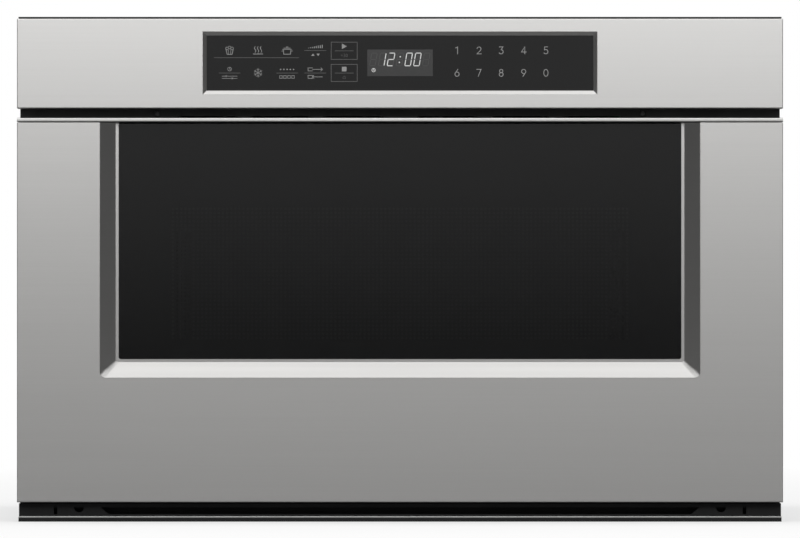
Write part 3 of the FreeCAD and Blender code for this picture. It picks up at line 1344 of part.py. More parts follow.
# ------------------------------------------------------------------------------------ shared places
intake_half = size("intake_half", 289)
intake_low = size("intake_low", 7)
intake_high = size("intake_high", 13.8)
latch_x = size("latch_x", 290)
latch_level = size("latch_level", 300)
latch_slot_half = size("latch_slot_half", 5)
gland_x = size("gland_x", 300)
gland_level = size("gland_level", 440)
gland_radius = size("gland_radius", 11)
drum_radius = size("drum_radius", 100)
drum_top = size("drum_top", 349)
coupling_radius = size("coupling_radius", 28)
guide_half = size("guide_half", 44)
guide_top = size("guide_top", 384)
lamp_x = size("lamp_x", 175)
lamp_y = size("lamp_y", -150)
panel_half = size("panel_half", 195.7)
panel_low = size("panel_low", 422.8)
panel_high = size("panel_high", 485.7)
window_over = size("window_over", 10)  # the window's cutters pass the steel front's top
choke_half = size("choke_half", 253)
choke_low = size("choke_low", 107)
choke_high = size("choke_high", 333)
screen_half = size("screen_half", 228)
screen_low = size("screen_low", 180)
screen_high = size("screen_high", 311.6)

make_base_plate()
make_front_frame()
make_side_panels()
make_rear_panel()
make_top_cover()
make_bottom_trim()
make_oven_cavity()
make_waveguide()
make_stirrer()
make_stirrer_cover()
make_magnetron()
add_fan_blades(*make_fan())
make_transformer()
make_capacitor()
make_lamp()
make_boards()
make_cable_gland()
make_slides()
make_slide_brackets()
make_drive()
make_interlocks()
make_control_panel()
make_drawer_front()
make_drawer_box(make_choke())

doc.recompute()

# ------------------------------------------------------------------------------------ checks and files
broken = [item.Label for item in doc.Objects if "Invalid" in item.State or "Error" in item.State]
if broken:
    raise SystemExit(f"these did not build: {broken}")
os.makedirs("parts", exist_ok=True)
for item in pieces:
    shape = item.Shape
    if shape.isNull() or not shape.isValid() or not shape.Solids:
        raise SystemExit(f"{item.Label} has no valid solid")
    shape.exportStep(f"parts/{item.Label}.step")
    print(f"{item.Label}: {len(shape.Solids)} solid(s), {shape.Volume / 1000:.1f} cm3")
print(f"{len(pieces)} pieces")
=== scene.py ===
import bmesh
import bpy
import json
import math
from mathutils import Matrix, Vector

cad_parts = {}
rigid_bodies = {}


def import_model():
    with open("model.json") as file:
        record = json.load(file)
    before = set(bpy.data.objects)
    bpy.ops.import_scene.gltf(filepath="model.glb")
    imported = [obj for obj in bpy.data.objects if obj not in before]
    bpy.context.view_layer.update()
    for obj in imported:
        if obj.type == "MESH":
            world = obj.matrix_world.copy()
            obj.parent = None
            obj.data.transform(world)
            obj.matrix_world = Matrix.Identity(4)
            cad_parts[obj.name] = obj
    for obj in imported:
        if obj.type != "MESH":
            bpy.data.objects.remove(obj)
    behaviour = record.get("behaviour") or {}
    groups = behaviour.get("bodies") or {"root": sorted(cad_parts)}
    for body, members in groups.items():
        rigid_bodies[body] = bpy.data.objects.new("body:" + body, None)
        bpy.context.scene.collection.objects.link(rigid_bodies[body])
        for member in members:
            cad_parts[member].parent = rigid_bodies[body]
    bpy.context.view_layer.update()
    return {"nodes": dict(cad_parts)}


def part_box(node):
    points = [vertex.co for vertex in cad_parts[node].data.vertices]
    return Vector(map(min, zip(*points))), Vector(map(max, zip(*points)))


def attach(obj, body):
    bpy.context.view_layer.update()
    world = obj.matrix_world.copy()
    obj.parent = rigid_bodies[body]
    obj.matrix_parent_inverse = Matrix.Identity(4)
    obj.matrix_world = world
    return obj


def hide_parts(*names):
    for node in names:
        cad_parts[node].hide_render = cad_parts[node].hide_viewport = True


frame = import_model()


# ------------------------ base pan, side panels, rear panel and top cover
# The chassis is folded from galvanised steel sheet, riveted at its sides and screwed behind and on top.
# Its zinc shows faint crystals, with a soft, slightly uneven shine.
MM = 0.001


def add(tree, kind, inputs=None, **settings):
    """A node of one kind. An input takes a value, another node's socket, or a node for its first output."""
    node = tree.nodes.new(kind)
    for name, value in settings.items():
        setattr(node, name, value)
    for place, value in (inputs or {}).items():
        if isinstance(value, bpy.types.Node):
            value = value.outputs[0]
        if isinstance(value, bpy.types.NodeSocket):
            tree.links.new(value, node.inputs[place])
        else:
            node.inputs[place].default_value = value
    return node


def shader(material):
    """The sockets of the material's shader."""
    return material.node_tree.nodes["Principled BSDF"].inputs


def finish(name, colour, roughness, metallic=0.0, **sockets):
    """A material whose even values sit on the shader's own sockets."""
    material = bpy.data.materials.new(name)
    material.use_nodes = True
    shader(material)["Base Color"].default_value = (*colour, 1)
    shader(material)["Roughness"].default_value = roughness
    shader(material)["Metallic"].default_value = metallic
    for socket, value in sockets.items():
        shader(material)[socket.replace("_", " ")].default_value = value
    return material


def grain(material, scale, stretch=(1, 1, 1), kind="NOISE", detail=3.0):
    """A pattern from 0 to 1 over the piece. Scale is in repeats per metre."""
    tree = material.node_tree
    place = add(tree, "ShaderNodeTexCoord").outputs["Object"]
    spot = add(tree, "ShaderNodeMapping", {"Vector": place, "Scale": stretch})
    if kind == "CELLS":
        cells = add(tree, "ShaderNodeTexVoronoi", {"Vector": spot, "Scale": scale})
        return add(tree, "ShaderNodeSeparateColor", {"Color": cells.outputs["Color"]}).outputs["Red"]
    return add(tree, "ShaderNodeTexNoise", {"Vector": spot, "Scale": scale, "Detail": detail}).outputs[0]


def tint(material, pattern, low, high, start, end):
    """The colour runs from low to high as the pattern runs from start to end."""
    ramp = add(material.node_tree, "ShaderNodeValToRGB", {"Fac": pattern})
    for stop, place, colour in zip(ramp.color_ramp.elements, (start, end), (low, high)):
        stop.position, stop.color = place, (*colour, 1)
    material.node_tree.links.new(ramp.outputs["Color"], shader(material)["Base Color"])
    return ramp.outputs["Color"]


def polish(material, pattern, low, high):
    """The roughness runs from low to high with the pattern."""
    spread = add(material.node_tree, "ShaderNodeMapRange", {
        "Value": pattern, "From Min": 0.3, "From Max": 0.7, "To Min": low, "To Max": high})
    material.node_tree.links.new(spread.outputs["Result"], shader(material)["Roughness"])


def relief(material, pattern, height, strength=1.0):
    """The surface rises by up to the height, in millimetres, with the pattern."""
    normal = shader(material)["Normal"]
    bump = {"Strength": strength, "Distance": height * MM, "Height": pattern}
    if normal.links:
        bump["Normal"] = normal.links[0].from_socket
    links = material.node_tree.links
    links.new(add(material.node_tree, "ShaderNodeBump", bump).outputs["Normal"], normal)


def mottled(name, colour, shine, scale, spread, metallic=0.0, stretch=(1, 1, 1), kind="NOISE", bump=(),
            **sockets):
    """A finish softly uneven in colour, by the spread, and in roughness, over the range of its shine.
    A bump is (repeats per metre, height in millimetres) and, where it isn't even, its stretch."""
    material = finish(name, colour, sum(shine) / 2, metallic, **sockets)
    pattern = grain(material, scale, stretch, kind)
    low = [c * (1 - spread) for c in colour]
    high = [min(1, c * (1 + spread)) for c in colour]
    tint(material, pattern, low, high, 0.2, 0.8)
    polish(material, pattern, *shine)
    if bump:
        repeats, height, *stretches = bump
        relief(material, grain(material, repeats, *stretches), height)
    return material


def dress(material, *names):
    """CAD nodes whose shape is right get only a better surface."""
    for name in names:
        mesh = frame["nodes"][name].data
        mesh.materials.clear()
        mesh.materials.append(material)


galvanised = mottled("galvanised_sheet", (0.55, 0.57, 0.58), shine=(0.38, 0.46), scale=75, spread=0.055,
                     metallic=1.0, kind="CELLS", bump=(420, 0.02))
dress(galvanised, "base_plate", "side_panel_right", "side_panel_left", "rear_panel", "top_cover")


def skin_between(shell, lower, upper):
    """Faces all round between two rings of as many points."""
    for i in range(len(lower)):
        j = (i + 1) % len(lower)
        shell.faces.new((lower[i], lower[j], upper[j], upper[i]))


def capped(shell, rings):
    """Faces along a run of rings, closed at both ends."""
    for lower, upper in zip(rings, rings[1:]):
        skin_between(shell, lower, upper)
    shell.faces.new(rings[0])
    shell.faces.new(rings[-1])


def turned(name, profile, stars=()):
    """A closed solid of rings about +Z from (radius, height) pairs. Rings numbered in stars have every
    second point drawn in."""
    sides, drawn_in = 12, 0.62
    shell, rings = bmesh.new(), []
    for number, (radius, height) in enumerate(profile):
        points = []
        for i in range(sides):
            angle = 2 * math.pi * i / sides
            reach = radius * (drawn_in if number in stars and i % 2 else 1.0)
            points.append(shell.verts.new((reach * math.cos(angle), reach * math.sin(angle), height)))
        rings.append(points)
    capped(shell, rings)
    return to_object(name, shell)


def stand(name, data):
    """A new object of the data, in the scene."""
    thing = bpy.data.objects.new(name, data)
    bpy.context.scene.collection.objects.link(thing)
    return thing


def to_object(name, shell):
    """The shell as a mesh object, its faces turned outwards."""
    bmesh.ops.recalc_face_normals(shell, faces=shell.faces)
    mesh = bpy.data.meshes.new(name)
    shell.to_mesh(mesh)
    shell.free()
    return stand(name, mesh)


def fit(name, shell, material, body, slot, *stands_for):
    """The finished piece takes the material, rides its body, and may stand for CAD nodes. The slot is not
    used.
    """
    piece = to_object(name, shell)
    piece.data.materials.append(material)
    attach(piece, body)
    if stands_for:
        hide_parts(*stands_for)


# A thread-forming screw with a pan head and a star recess, and a blind rivet, each one unit in radius.
pan_head = turned("pan_head", [(1, 0), (1, 0.2), (0.86, 0.45), (0.6, 0.56), (0.5, 0.56), (0.46, 0.2)],
                  stars=(4, 5))
rivet_head = turned("rivet_head", [(1, 0), (0.94, 0.26), (0.66, 0.46), (0.3, 0.5), (0.26, 0.34)])


def new_tree(name, **inputs):
    """An empty tree of geometry nodes and the sockets of its named inputs."""
    tree = bpy.data.node_groups.new(name, "GeometryNodeTree")
    for socket, kind in inputs.items():
        tree.interface.new_socket(socket, in_out="INPUT", socket_type="NodeSocket" + kind)
    tree.interface.new_socket("Result", in_out="OUTPUT", socket_type="NodeSocketGeometry")
    return tree, add(tree, "NodeGroupInput").outputs


def set_out_tree():
    """Geometry nodes that put one part on every point, turned and sized, as one plain mesh."""
    tree, given = new_tree("set_out", Places="Geometry", Part="Object", Size="Float", Facing="Rotation",
                           Spin="Float", Finish="Material")
    part = add(tree, "GeometryNodeObjectInfo", {"Object": given["Part"]}, transform_space="ORIGINAL")
    most, drawn = 3, 1
    chance = add(tree, "FunctionNodeRandomValue", {most: given["Spin"], "Seed": 7}, data_type="FLOAT")
    angle = chance.outputs[drawn]
    about = add(tree, "FunctionNodeAxisAngleToRotation", {"Axis": (0, 0, 1), "Angle": angle})
    turn = add(tree, "FunctionNodeRotateRotation", {"Rotation": given["Facing"], "Rotate By": about},
               rotation_space="LOCAL")
    copies = add(tree, "GeometryNodeInstanceOnPoints", {
        "Points": given["Places"], "Instance": part.outputs["Geometry"], "Rotation": turn,
        "Scale": given["Size"]})
    plain = add(tree, "GeometryNodeRealizeInstances", {"Geometry": copies})
    coat = add(tree, "GeometryNodeSetMaterial", {"Geometry": plain, "Material": given["Finish"]})
    add(tree, "NodeGroupOutput", {"Result": coat})
    return tree


set_out = set_out_tree()


def plain_mesh(thing):
    """The mesh that an object comes to. The object itself is thrown away."""
    bpy.context.view_layer.update()
    depsgraph = bpy.context.evaluated_depsgraph_get()
    mesh = bpy.data.meshes.new_from_object(thing.evaluated_get(depsgraph), depsgraph=depsgraph)
    bpy.data.batch_remove((thing, thing.data))
    return mesh


def made_by(tree, carrier, **values):
    """The plain mesh that a tree makes of the carrier."""
    modifier = carrier.modifiers.new("made", "NODES")
    modifier.node_group = tree
    for socket in tree.interface.items_tree:
        if socket.in_out == "INPUT" and socket.name in values:
            modifier[socket.identifier] = values[socket.name]
    return plain_mesh(carrier)


def points_object(places):
    """An object of loose points at places in millimetres."""
    mesh = bpy.data.meshes.new("places")
    mesh.from_pydata([Vector(place) * MM for place in places], [], [])
    return stand("places", mesh)


quarter = math.pi / 2
OUT_BACK, OUT_FRONT, OUT_TOP, OUT_BELOW = (-quarter, 0, 0), (quarter, 0, 0), (0, 0, 0), (math.pi, 0, 0)
OUT_RIGHT, OUT_LEFT = (0, quarter, 0), (0, -quarter, 0)


def fixings(name, part, radius, groups, material, body, slot, spin=6.28):
    """One piece of all the screws or rivets of a body: groups are (way out, places)."""
    whole = bmesh.new()
    for facing, places in groups:
        mesh = made_by(set_out, points_object(places), Part=part, Size=radius * MM, Facing=facing,
                       Spin=spin, Finish=material)
        whole.from_mesh(mesh)
        bpy.data.meshes.remove(mesh)
    fit(name, whole, material, body, slot)


def along(start, end, count):
    """Evenly spaced places from start to end."""
    start, end = Vector(start), Vector(end)
    return [tuple(start.lerp(end, i / (count - 1))) for i in range(count)]


zinc_screw = mottled("zinc_screw", (0.66, 0.66, 0.64), shine=(0.25, 0.4), scale=900, spread=0.1,
                     metallic=1.0)
rear_face, side_face, cover_face = 293.0, 357.0, 486.9
rear_screws = [place for x in (-349, 349) for place in along((x, rear_face, 22), (x, rear_face, 474), 5)]
for z in (13, 478):
    rear_screws += along((-260, rear_face, z), (260, rear_face, z), 5)
cover_screws = [
    place for x in (-350, 350) for place in along((x, -232, cover_face), (x, 276, cover_face), 6)]
fixings("chassis_screws", pan_head, 3.6, [(OUT_BACK, rear_screws), (OUT_TOP, cover_screws)], zinc_screw,
        "chassis", "galvanised")
fixings("chassis_rivets", rivet_head, 2.6, [
    (out, along((x, -236, 12), (x, 270, 12), 7) + along((x, -240, 225), (x, 190, 225), 5))
    for out, x in ((OUT_RIGHT, side_face), (OUT_LEFT, -side_face))], zinc_screw, "chassis", "galvanised")


# ------------------------ rear louvres
# The rear panel is pierced and pressed out into small hoods, where warm air leaves.
# Each hood stands out most at its upper edge and slopes back to the panel below.
hood_half, hood_deep, hood_out, hood_pitch = 14.0, 2.6, 2.4, 8
outline = [(-hood_deep, 0), (-hood_deep, hood_out), (-1.2, hood_out * 0.96), (0.8, hood_out * 0.62),
           (2.2, hood_out * 0.2), (hood_deep, 0)]
shell = bmesh.new()
capped(shell, [
    [shell.verts.new((x, y * (0.6 + 0.4 * swell), z * swell)) for y, z in outline]
    for x, swell in ((-hood_half, 0.05), (3 - hood_half, 1), (hood_half - 3, 1), (hood_half, 0.05))])
hood = to_object("hood", shell)
upper_field = [(x, rear_face, z) for x in (20, 56, 92, 128, 164) for z in range(392, 472, hood_pitch)]
lower_field = [(x, rear_face, z) for x in (-300, -264, -228) for z in range(40, 112, hood_pitch)]
fixings("rear_louvres", hood, 1.0, [(OUT_BACK, upper_field + lower_field)], galvanised, "chassis",
        "galvanised", spin=0)


# ------------------------ oven cavity and the cover under its ceiling
# A spot-welded steel box in light grey enamel, fired on, with a fine orange peel.
# The cover is a pale sheet that microwaves pass through, held by four clips.
enamel = mottled("light_grey_enamel", (0.62, 0.63, 0.62), shine=(0.28, 0.36), scale=9, spread=0.03,
                 bump=(700, 0.03), Coat_Weight=0.25, Coat_Roughness=0.12)
relief(enamel, grain(enamel, 90), 0.02)
dress(enamel, "oven_cavity")
dress(mottled("microwave_clear_sheet", (0.74, 0.72, 0.66), shine=(0.42, 0.6), scale=160, spread=0.05,
              stretch=(1, 3, 1), bump=(1200, 0.015)), "stirrer_cover")
clip_white = mottled("ceiling_clip", (0.8, 0.79, 0.75), shine=(0.4, 0.5), scale=400, spread=0.04)
cover_below = 318.0
fixings("cover_clips", rivet_head, 5.5, [
    (OUT_BELOW, [(x, y, cover_below) for x in (-98, 98) for y in (-118, 78)])],
    clip_white, "chassis", "cover_sheet")
weld_dot = mottled("spot_weld", (0.5, 0.51, 0.5), shine=(0.35, 0.5), scale=500, spread=0.08,
                   Coat_Weight=0.2)
weld = turned("weld", [(1, 0), (0.8, 0.05), (0.4, 0.02), (0.1, 0.015)])
wall_inside, rear_inside = 249.95, 205.95
fixings("cavity_welds", weld, 3.0, [
    (OUT_FRONT, [(x, rear_inside, z) for x in range(-230, 240, 46) for z in (124, 316)]),
    (OUT_RIGHT, [(-wall_inside, y, z) for y in range(-230, 200, 54) for z in (126, 314)]),
    (OUT_LEFT, [(wall_inside, y, z) for y in range(-230, 200, 54) for z in (126, 314)])],
    weld_dot, "chassis", "cavity_enamel")


# ------------------------ microwave feed
# Magnetron, waveguide, stirrer and its motor stand on the cavity's ceiling.
# The waveguide is galvanised sheet, the fins and stirrer are aluminium, the motor's can is plated.
dress(galvanised, "waveguide")
dress(mottled("fin_aluminium", (0.66, 0.66, 0.67), shine=(0.3, 0.45), scale=60, spread=0.07, metallic=1.0,
              bump=(900, 0.01, (1, 0.1, 1))), "magnetron")
dress(mottled("pressed_aluminium", (0.7, 0.7, 0.71), shine=(0.28, 0.42), scale=40, spread=0.06,
              metallic=1.0, bump=(600, 0.01, (0.15, 1, 1))), "stirrer")
dress(mottled("plated_motor_can", (0.28, 0.29, 0.30), shine=(0.34, 0.5), scale=50, spread=0.1, metallic=0.7,
              bump=(800, 0.01)), "stirrer_motor", "fan_motor", "drive_motor")
tube_flange, motor_flange = 386.0, 384.8
fixings("feed_screws", pan_head, 2.8, [
    (OUT_TOP, [(x, y, tube_flange) for x in (-40, 40) for y in (214, 280)]
     + [(x, -20, motor_flange) for x in (-28, 28)])],
    zinc_screw, "chassis", "galvanised")


# ------------------------ cooling fan
# A moulded axial fan draws room air and blows it through a duct into the magnetron's fins.
# Blade and shroud are moulded plastic, the blade pressed on the motor's shaft.
dress(mottled("fan_plastic", (0.7, 0.7, 0.68), shine=(0.38, 0.5), scale=30, spread=0.04,
              bump=(1500, 0.01)), "fan_blade")
dress(mottled("shroud_plastic", (0.30, 0.31, 0.32), shine=(0.45, 0.58), scale=30, spread=0.05,
              bump=(1300, 0.03)), "fan_shroud")


# ------------------------ high-voltage transformer
# Stamped steel sheets are stacked and welded into a core. Copper wire is wound on it under amber varnish,
# the thick winding below the fine one.
def block(shell, low, high, soft=0.0):
    """A block between two corners in millimetres, its edges softened by a bevel."""
    middle = (Vector(low) + Vector(high)) / 2 * MM
    size = (Vector(high) - Vector(low)) * MM
    laid = Matrix.Translation(middle) @ Matrix.Diagonal((*size, 1))
    made = bmesh.ops.create_cube(shell, size=1, matrix=laid)
    if soft:
        edges = {edge for vert in made["verts"] for edge in vert.link_edges}
        bmesh.ops.bevel(shell, geom=list(edges), offset=soft * MM, segments=2, profile=0.6, affect="EDGES")


def rounded_path(half_x, half_y, radius, steps=5):
    """Points round a rounded rectangle about the origin, with the way out at each."""
    path = []
    for corner, (side_x, side_y) in enumerate(((1, 1), (-1, 1), (-1, -1), (1, -1))):
        for i in range(steps + 1):
            angle = quarter * (corner + i / steps)
            out = Vector((math.cos(angle), math.sin(angle)))
            centre = Vector((side_x * (half_x - radius), side_y * (half_y - radius)))
            path.append((centre + out * radius, out))
    return path


def spots(shell, places):
    """New points of the shell at places in millimetres."""
    return [shell.verts.new([value * MM for value in place]) for place in places]


def tube(shell, rings):
    """Faces along a run of rings whose last joins its first."""
    for lower, upper in zip(rings, rings[1:] + rings[:1]):
        skin_between(shell, lower, upper)


def winding(shell, centre, half_x, half_y, low, high, wire, inner=9, steps=6):
    """A coil whose outer side shows each turn of wire, closed down to the core."""
    profile = [(-inner, low)]
    for turn in range(round((high - low) / wire)):
        for step in range(steps):
            angle = math.pi * (step + 0.5) / steps
            profile.append((wire * 0.5 * math.sin(angle) - wire * 0.5,
                            low + wire * (turn + 0.5) - wire * 0.5 * math.cos(angle)))
    profile.append((-inner, high))
    path = rounded_path(half_x, half_y, 9)
    rings = []
    for out_by, level in profile:
        middle = Vector((*centre, level))
        rings.append(spots(shell, [middle + (point + out * out_by).to_3d() for point, out in path]))
    tube(shell, rings)


def mm_box(node):
    """The low and the high corner of a CAD node's box, each as x, y and z in millimetres."""
    return [[place / MM for place in corner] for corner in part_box(node)]


laminations = mottled("varnished_laminations", (0.13, 0.10, 0.09), shine=(0.35, 0.55), scale=30,
                      spread=0.25, metallic=0.6, bump=(1400, 0.15, (1, 0, 0)))
(left, near, foot), (right, far, top) = mm_box("hv_transformer")
shell = bmesh.new()
block(shell, (left + 10, near + 12, foot + 1), (right - 10, far - 12, top), 0.8)
block(shell, (left, near + 14, foot), (right, far - 14, foot + 1.6), 0.4)
for x in (left + 9.4, right - 9.4):
    for y in (near + 26, far - 26):
        block(shell, (x - 0.8, y - 2, foot + 2), (x + 0.8, y + 2, top - 1), 0.6)
fit("transformer_core", shell, laminations, "chassis", "transformer", "hv_transformer")
copper_wire = mottled("varnished_copper", (0.42, 0.16, 0.06), shine=(0.22, 0.4), scale=120, spread=0.2,
                      metallic=0.85, Coat_Weight=0.6, Coat_Roughness=0.15)
shell = bmesh.new()
core_middle = ((left + right) / 2, (near + far) / 2)
winding(shell, core_middle, 29, 37.5, foot + 13, foot + 34, wire=1.9)
winding(shell, core_middle, 28, 36.5, foot + 39, foot + 64, wire=1.0)
fit("transformer_windings", shell, copper_wire, "chassis", "transformer")


# ------------------------ high-voltage capacitor, lamp box and gland
# A drawn aluminium can under a strap, a vented lamp box of tinned sheet,
# and a moulded nylon gland where the supply enters.
dress(mottled("drawn_can", (0.58, 0.58, 0.6), shine=(0.25, 0.38), scale=50, spread=0.06, metallic=1.0,
              bump=(900, 0.008, (0.1, 1, 1))), "hv_capacitor")
dress(mottled("tinned_sheet", (0.6, 0.61, 0.62), shine=(0.3, 0.46), scale=60, spread=0.08,
              metallic=1.0), "oven_lamp")
dress(mottled("gland_nylon", (0.03, 0.03, 0.03), shine=(0.4, 0.55), scale=80, spread=0.2,
              bump=(1500, 0.02)), "cord_gland")


# ------------------------ circuit boards
# Glass-epoxy boards with green solder mask over copper tracks, which show through it as a lighter pattern.
# The parts that stand on a board have dark moulded cases.
def reckon(tree, operation, *values):
    """One step of arithmetic on sockets, nodes or numbers."""
    return add(tree, "ShaderNodeMath", dict(enumerate(values)), operation=operation)


def board_finish(name, node, axis, parts_tall, board_thick=1.6):
    """Green within the board's own thickness and dark cases beyond. The parts stand that tall behind it."""
    material = finish(name, (0.05, 0.23, 0.12), 0.3, Coat_Weight=0.3, Coat_Roughness=0.1)
    tree = material.node_tree
    tracks = grain(material, 420, (1, 0.35, 1), kind="CELLS")
    green = tint(material, tracks, (0.03, 0.15, 0.08), (0.06, 0.26, 0.14), 0.45, 0.55)
    relief(material, tracks, 0.04)
    blocks = grain(material, 45, kind="CELLS")
    cases = tint(material, blocks, (0.02, 0.02, 0.022), (0.10, 0.095, 0.08), 0.3, 0.9)
    place = add(tree, "ShaderNodeTexCoord").outputs["Object"]
    split = add(tree, "ShaderNodeSeparateXYZ", {"Vector": place})
    face = mm_box(node)[1]["XYZ".index(axis)] - parts_tall - board_thick
    within = reckon(tree, "COMPARE", split.outputs[axis], (face + board_thick / 2) * MM,
                    (board_thick / 2 + 0.05) * MM)
    first, second, mixed = 6, 7, 2
    choose = add(tree, "ShaderNodeMix", {"Factor": within, first: cases, second: green}, data_type="RGBA")
    tree.links.new(choose.outputs[mixed], shader(material)["Base Color"])
    dress(material, node)


board_finish("power_board_finish", "power_board", "X", 8)
board_finish("filter_board_finish", "noise_filter_board", "Y", 9)
board_finish("control_board_finish", "control_board", "Y", 8)


# ------------------------ slides, their balls and brackets
# Roll-formed zinc-plated members in three parts a side, running on steel balls in pressed cages.
# The outer members are riveted to folded brackets beside the cavity.
slide_zinc = mottled("zinc_plated_slide", (0.63, 0.65, 0.66), shine=(0.24, 0.38), scale=25, spread=0.06,
                     metallic=1.0, stretch=(1, 0.2, 1), bump=(700, 0.01, (1, 0.05, 1)))
dress(slide_zinc, *(f"slide_{member}_{side}" for member in ("outer", "middle", "inner")
                    for side in ("right", "left")))
dress(mottled("cage_strip", (0.5, 0.48, 0.42), shine=(0.3, 0.44), scale=60, spread=0.08,
              metallic=1.0), "outer_ball_cages", "inner_ball_cages")
dress(galvanised, "slide_brackets", "rack_guide", "drive_bracket")
ball_steel = mottled("ball_steel", (0.72, 0.72, 0.73), shine=(0.08, 0.18), scale=300, spread=0.04,
                     metallic=1.0)
shell = bmesh.new()
bmesh.ops.create_icosphere(shell, subdivisions=2, radius=1)
ball = to_object("ball", shell)
slide_level, bracket_face = 225.0, 257.4
for name, body, radius, out, reach, node in (
        ("outer_slide_balls", "outer_cages", 1.98, 262.5, 19.6, "outer_ball_cages"),
        ("inner_slide_balls", "inner_cages", 2.55, 260.9, 13.6, "inner_ball_cages")):
    cage_low, cage_high = mm_box(node)
    front, rear = cage_low[1] + 6, cage_high[1] - 6
    places = []
    for x in (out, -out):
        for level in (slide_level + reach, slide_level - reach):
            places += along((x, front, level), (x, rear, level), 18)
    fixings(name, ball, radius, [(OUT_TOP, places)], ball_steel, body, "slide_zinc")
fixings("slide_rivets", rivet_head, 2.4, [
    (out, [(x, y, slide_level) for y in (-236, -60, 120, 190)])
    for out, x in ((OUT_RIGHT, -bracket_face), (OUT_LEFT, bracket_face))],
    zinc_screw, "chassis", "slide_zinc")


# ------------------------ drive
# A geared motor turns a brass pinion, two moulded acetal gears and the rack under the drawer.
# Motor and gears stand in a folded bracket, screwed to the base pan.
dress(mottled("natural_acetal", (0.85, 0.84, 0.79), shine=(0.33, 0.44), scale=90, spread=0.03,
              bump=(1200, 0.01), Subsurface_Weight=0.05), "output_gear", "reduction_gear")
dress(mottled("machined_brass", (0.72, 0.55, 0.25), shine=(0.2, 0.34), scale=500, spread=0.08,
              metallic=1.0, stretch=(0.05, 1, 1)), "motor_pinion")
dress(mottled("black_acetal", (0.05, 0.05, 0.055), shine=(0.34, 0.48), scale=120, spread=0.15,
              bump=(1200, 0.01)), "drawer_rack")
bracket_foot = 6.6
fixings("drive_screws", pan_head, 2.2, [
    (OUT_TOP, [(x, y, bracket_foot) for x in (-30, 44) for y in (-234, -152)])],
    zinc_screw, "chassis", "galvanised")


# ------------------------ interlock switches and hooks
# Moulded switch stacks stand behind the frame, one on each side.
# Acetal hooks on the drawer front reach through the frame and press them as it closes.
dress(mottled("switch_plastic", (0.08, 0.08, 0.09), shine=(0.42, 0.55), scale=90, spread=0.12,
              bump=(1300, 0.02)), "interlock_switches")
dress(mottled("hook_acetal", (0.8, 0.79, 0.75), shine=(0.35, 0.46), scale=90, spread=0.03), "latch_hooks")


# ------------------------ front frame and lower trim
# Pressed steel in satin black powder coat, with a fine orange peel. The lower trim has an air intake,
# and behind it a black wire mesh keeps crumbs and fingers out.
black_coat = mottled("satin_black_coat", (0.014, 0.0145, 0.015), shine=(0.42, 0.5), scale=12, spread=0.12,
                     Specular_IOR_Level=0.3)
relief(black_coat, grain(black_coat, 900), 0.04, 0.6)
dress(black_coat, "front_frame", "bottom_trim", "door_inner_panel")
trim_low, trim_high = mm_box("bottom_trim")
trim_left, trim_right = trim_low[0], trim_high[0]
mesh_front, wire_thick, mesh_foot, mesh_head = -262.0, 0.5, 1.6, 16.8
shell = bmesh.new()
for level in range(2, 17, 2):
    block(shell, (trim_left + 3, mesh_front, level), (trim_right - 3, mesh_front + wire_thick, level + 0.8))
for x in range(-372, 373, 3):
    block(shell, (x, mesh_front + wire_thick, mesh_foot), (x + 0.7, mesh_front + 2 * wire_thick, mesh_head))
# The solid black strip just behind the mesh closes the intake: painted shade for the dark space inside it.
block(shell, (trim_left + 3, mesh_front + 3, mesh_foot), (trim_right - 3, mesh_front + 6, 16.5))
fit("intake_mesh", shell, black_coat, "chassis", "black_paint")
# A strip of bright steel on the lip's upper edge is a painted highlight: it stands for the light that the
# black lip's rounded top catches.
highlight_steel = mottled("painted_highlight_steel", (0.62, 0.62, 0.61), shine=(0.3, 0.38), scale=1.0, spread=0.03,
                    metallic=1.0, stretch=(6, 400, 400))
lip_front = trim_low[1]
edge_turn = [(1.04, 3.7), (1.04, 5.0), (0.75, 5.25), (0.2, 5.2), (-0.06, 4.9), (-0.06, 3.9), (0, 3.75),
             (0, 5.0), (1.0, 5.0), (1.0, 3.7)]
shell = bmesh.new()
capped(shell, [spots(shell, [(x, lip_front + y, z) for y, z in edge_turn])
               for x in (trim_left, trim_right)])
fit("lip_edge", shell, highlight_steel, "chassis", "black_paint")
black_screw = mottled("black_screw", (0.05, 0.05, 0.052), shine=(0.3, 0.45), scale=900, spread=0.15,
                      metallic=0.5)
frame_face = -253.0
fixings("frame_screws", pan_head, 3.2, [
    (OUT_FRONT, [(x, frame_face, z) for x in (-330, 330) for z in (30, 120, 210, 372)]
     + [(x, frame_face, 404.8) for x in (-242, 242)])],
    black_screw, "chassis", "black_paint")


# ------------------------ control panel
# A folded brushed-steel front with a mitred bevel round the touch glass.
# The brushing runs from side to side, so lamps above show as a soft vertical sheen.
def brushed(name, tone, roughness, lines=1300):
    """Brushed steel: fine lines along X in its colour, shine and surface."""
    material = finish(name, tone, roughness, 1.0, Anisotropic=0.35, Anisotropic_Rotation=0.25)
    fine = grain(material, 1.0, (4, 4, lines), detail=2)
    tint(material, fine, [c * 0.985 for c in tone], [min(1, c * 1.015) for c in tone], 0.25, 0.75)
    polish(material, fine, roughness - 0.006, roughness + 0.006)
    relief(material, grain(material, 1.0, (6, 6, lines * 1.5), detail=2), 0.0012, 0.4)
    return material


front_steel = brushed("brushed_steel_front", (0.60, 0.595, 0.585), 0.36)
dress(front_steel, "control_fascia", "control_bezel")
dress(mottled("back_printed_glass", (0.012, 0.0121, 0.0122), shine=(0.05, 0.07), scale=7,
              spread=0.02), "touch_glass")
dress(mottled("moulded_carrier", (0.06, 0.06, 0.062), shine=(0.45, 0.58), scale=60, spread=0.1,
              bump=(1100, 0.03)), "control_carrier", "display_module")


# ------------------------ keypad symbols
# Screen-printed in grey on the glass, in three strengths of ink.
# Every key has a plain symbol in place of words, and the digits are kept.
glass_face = mm_box("touch_glass")[0][1]
ink_thick, ink_root = 0.05, 0.01


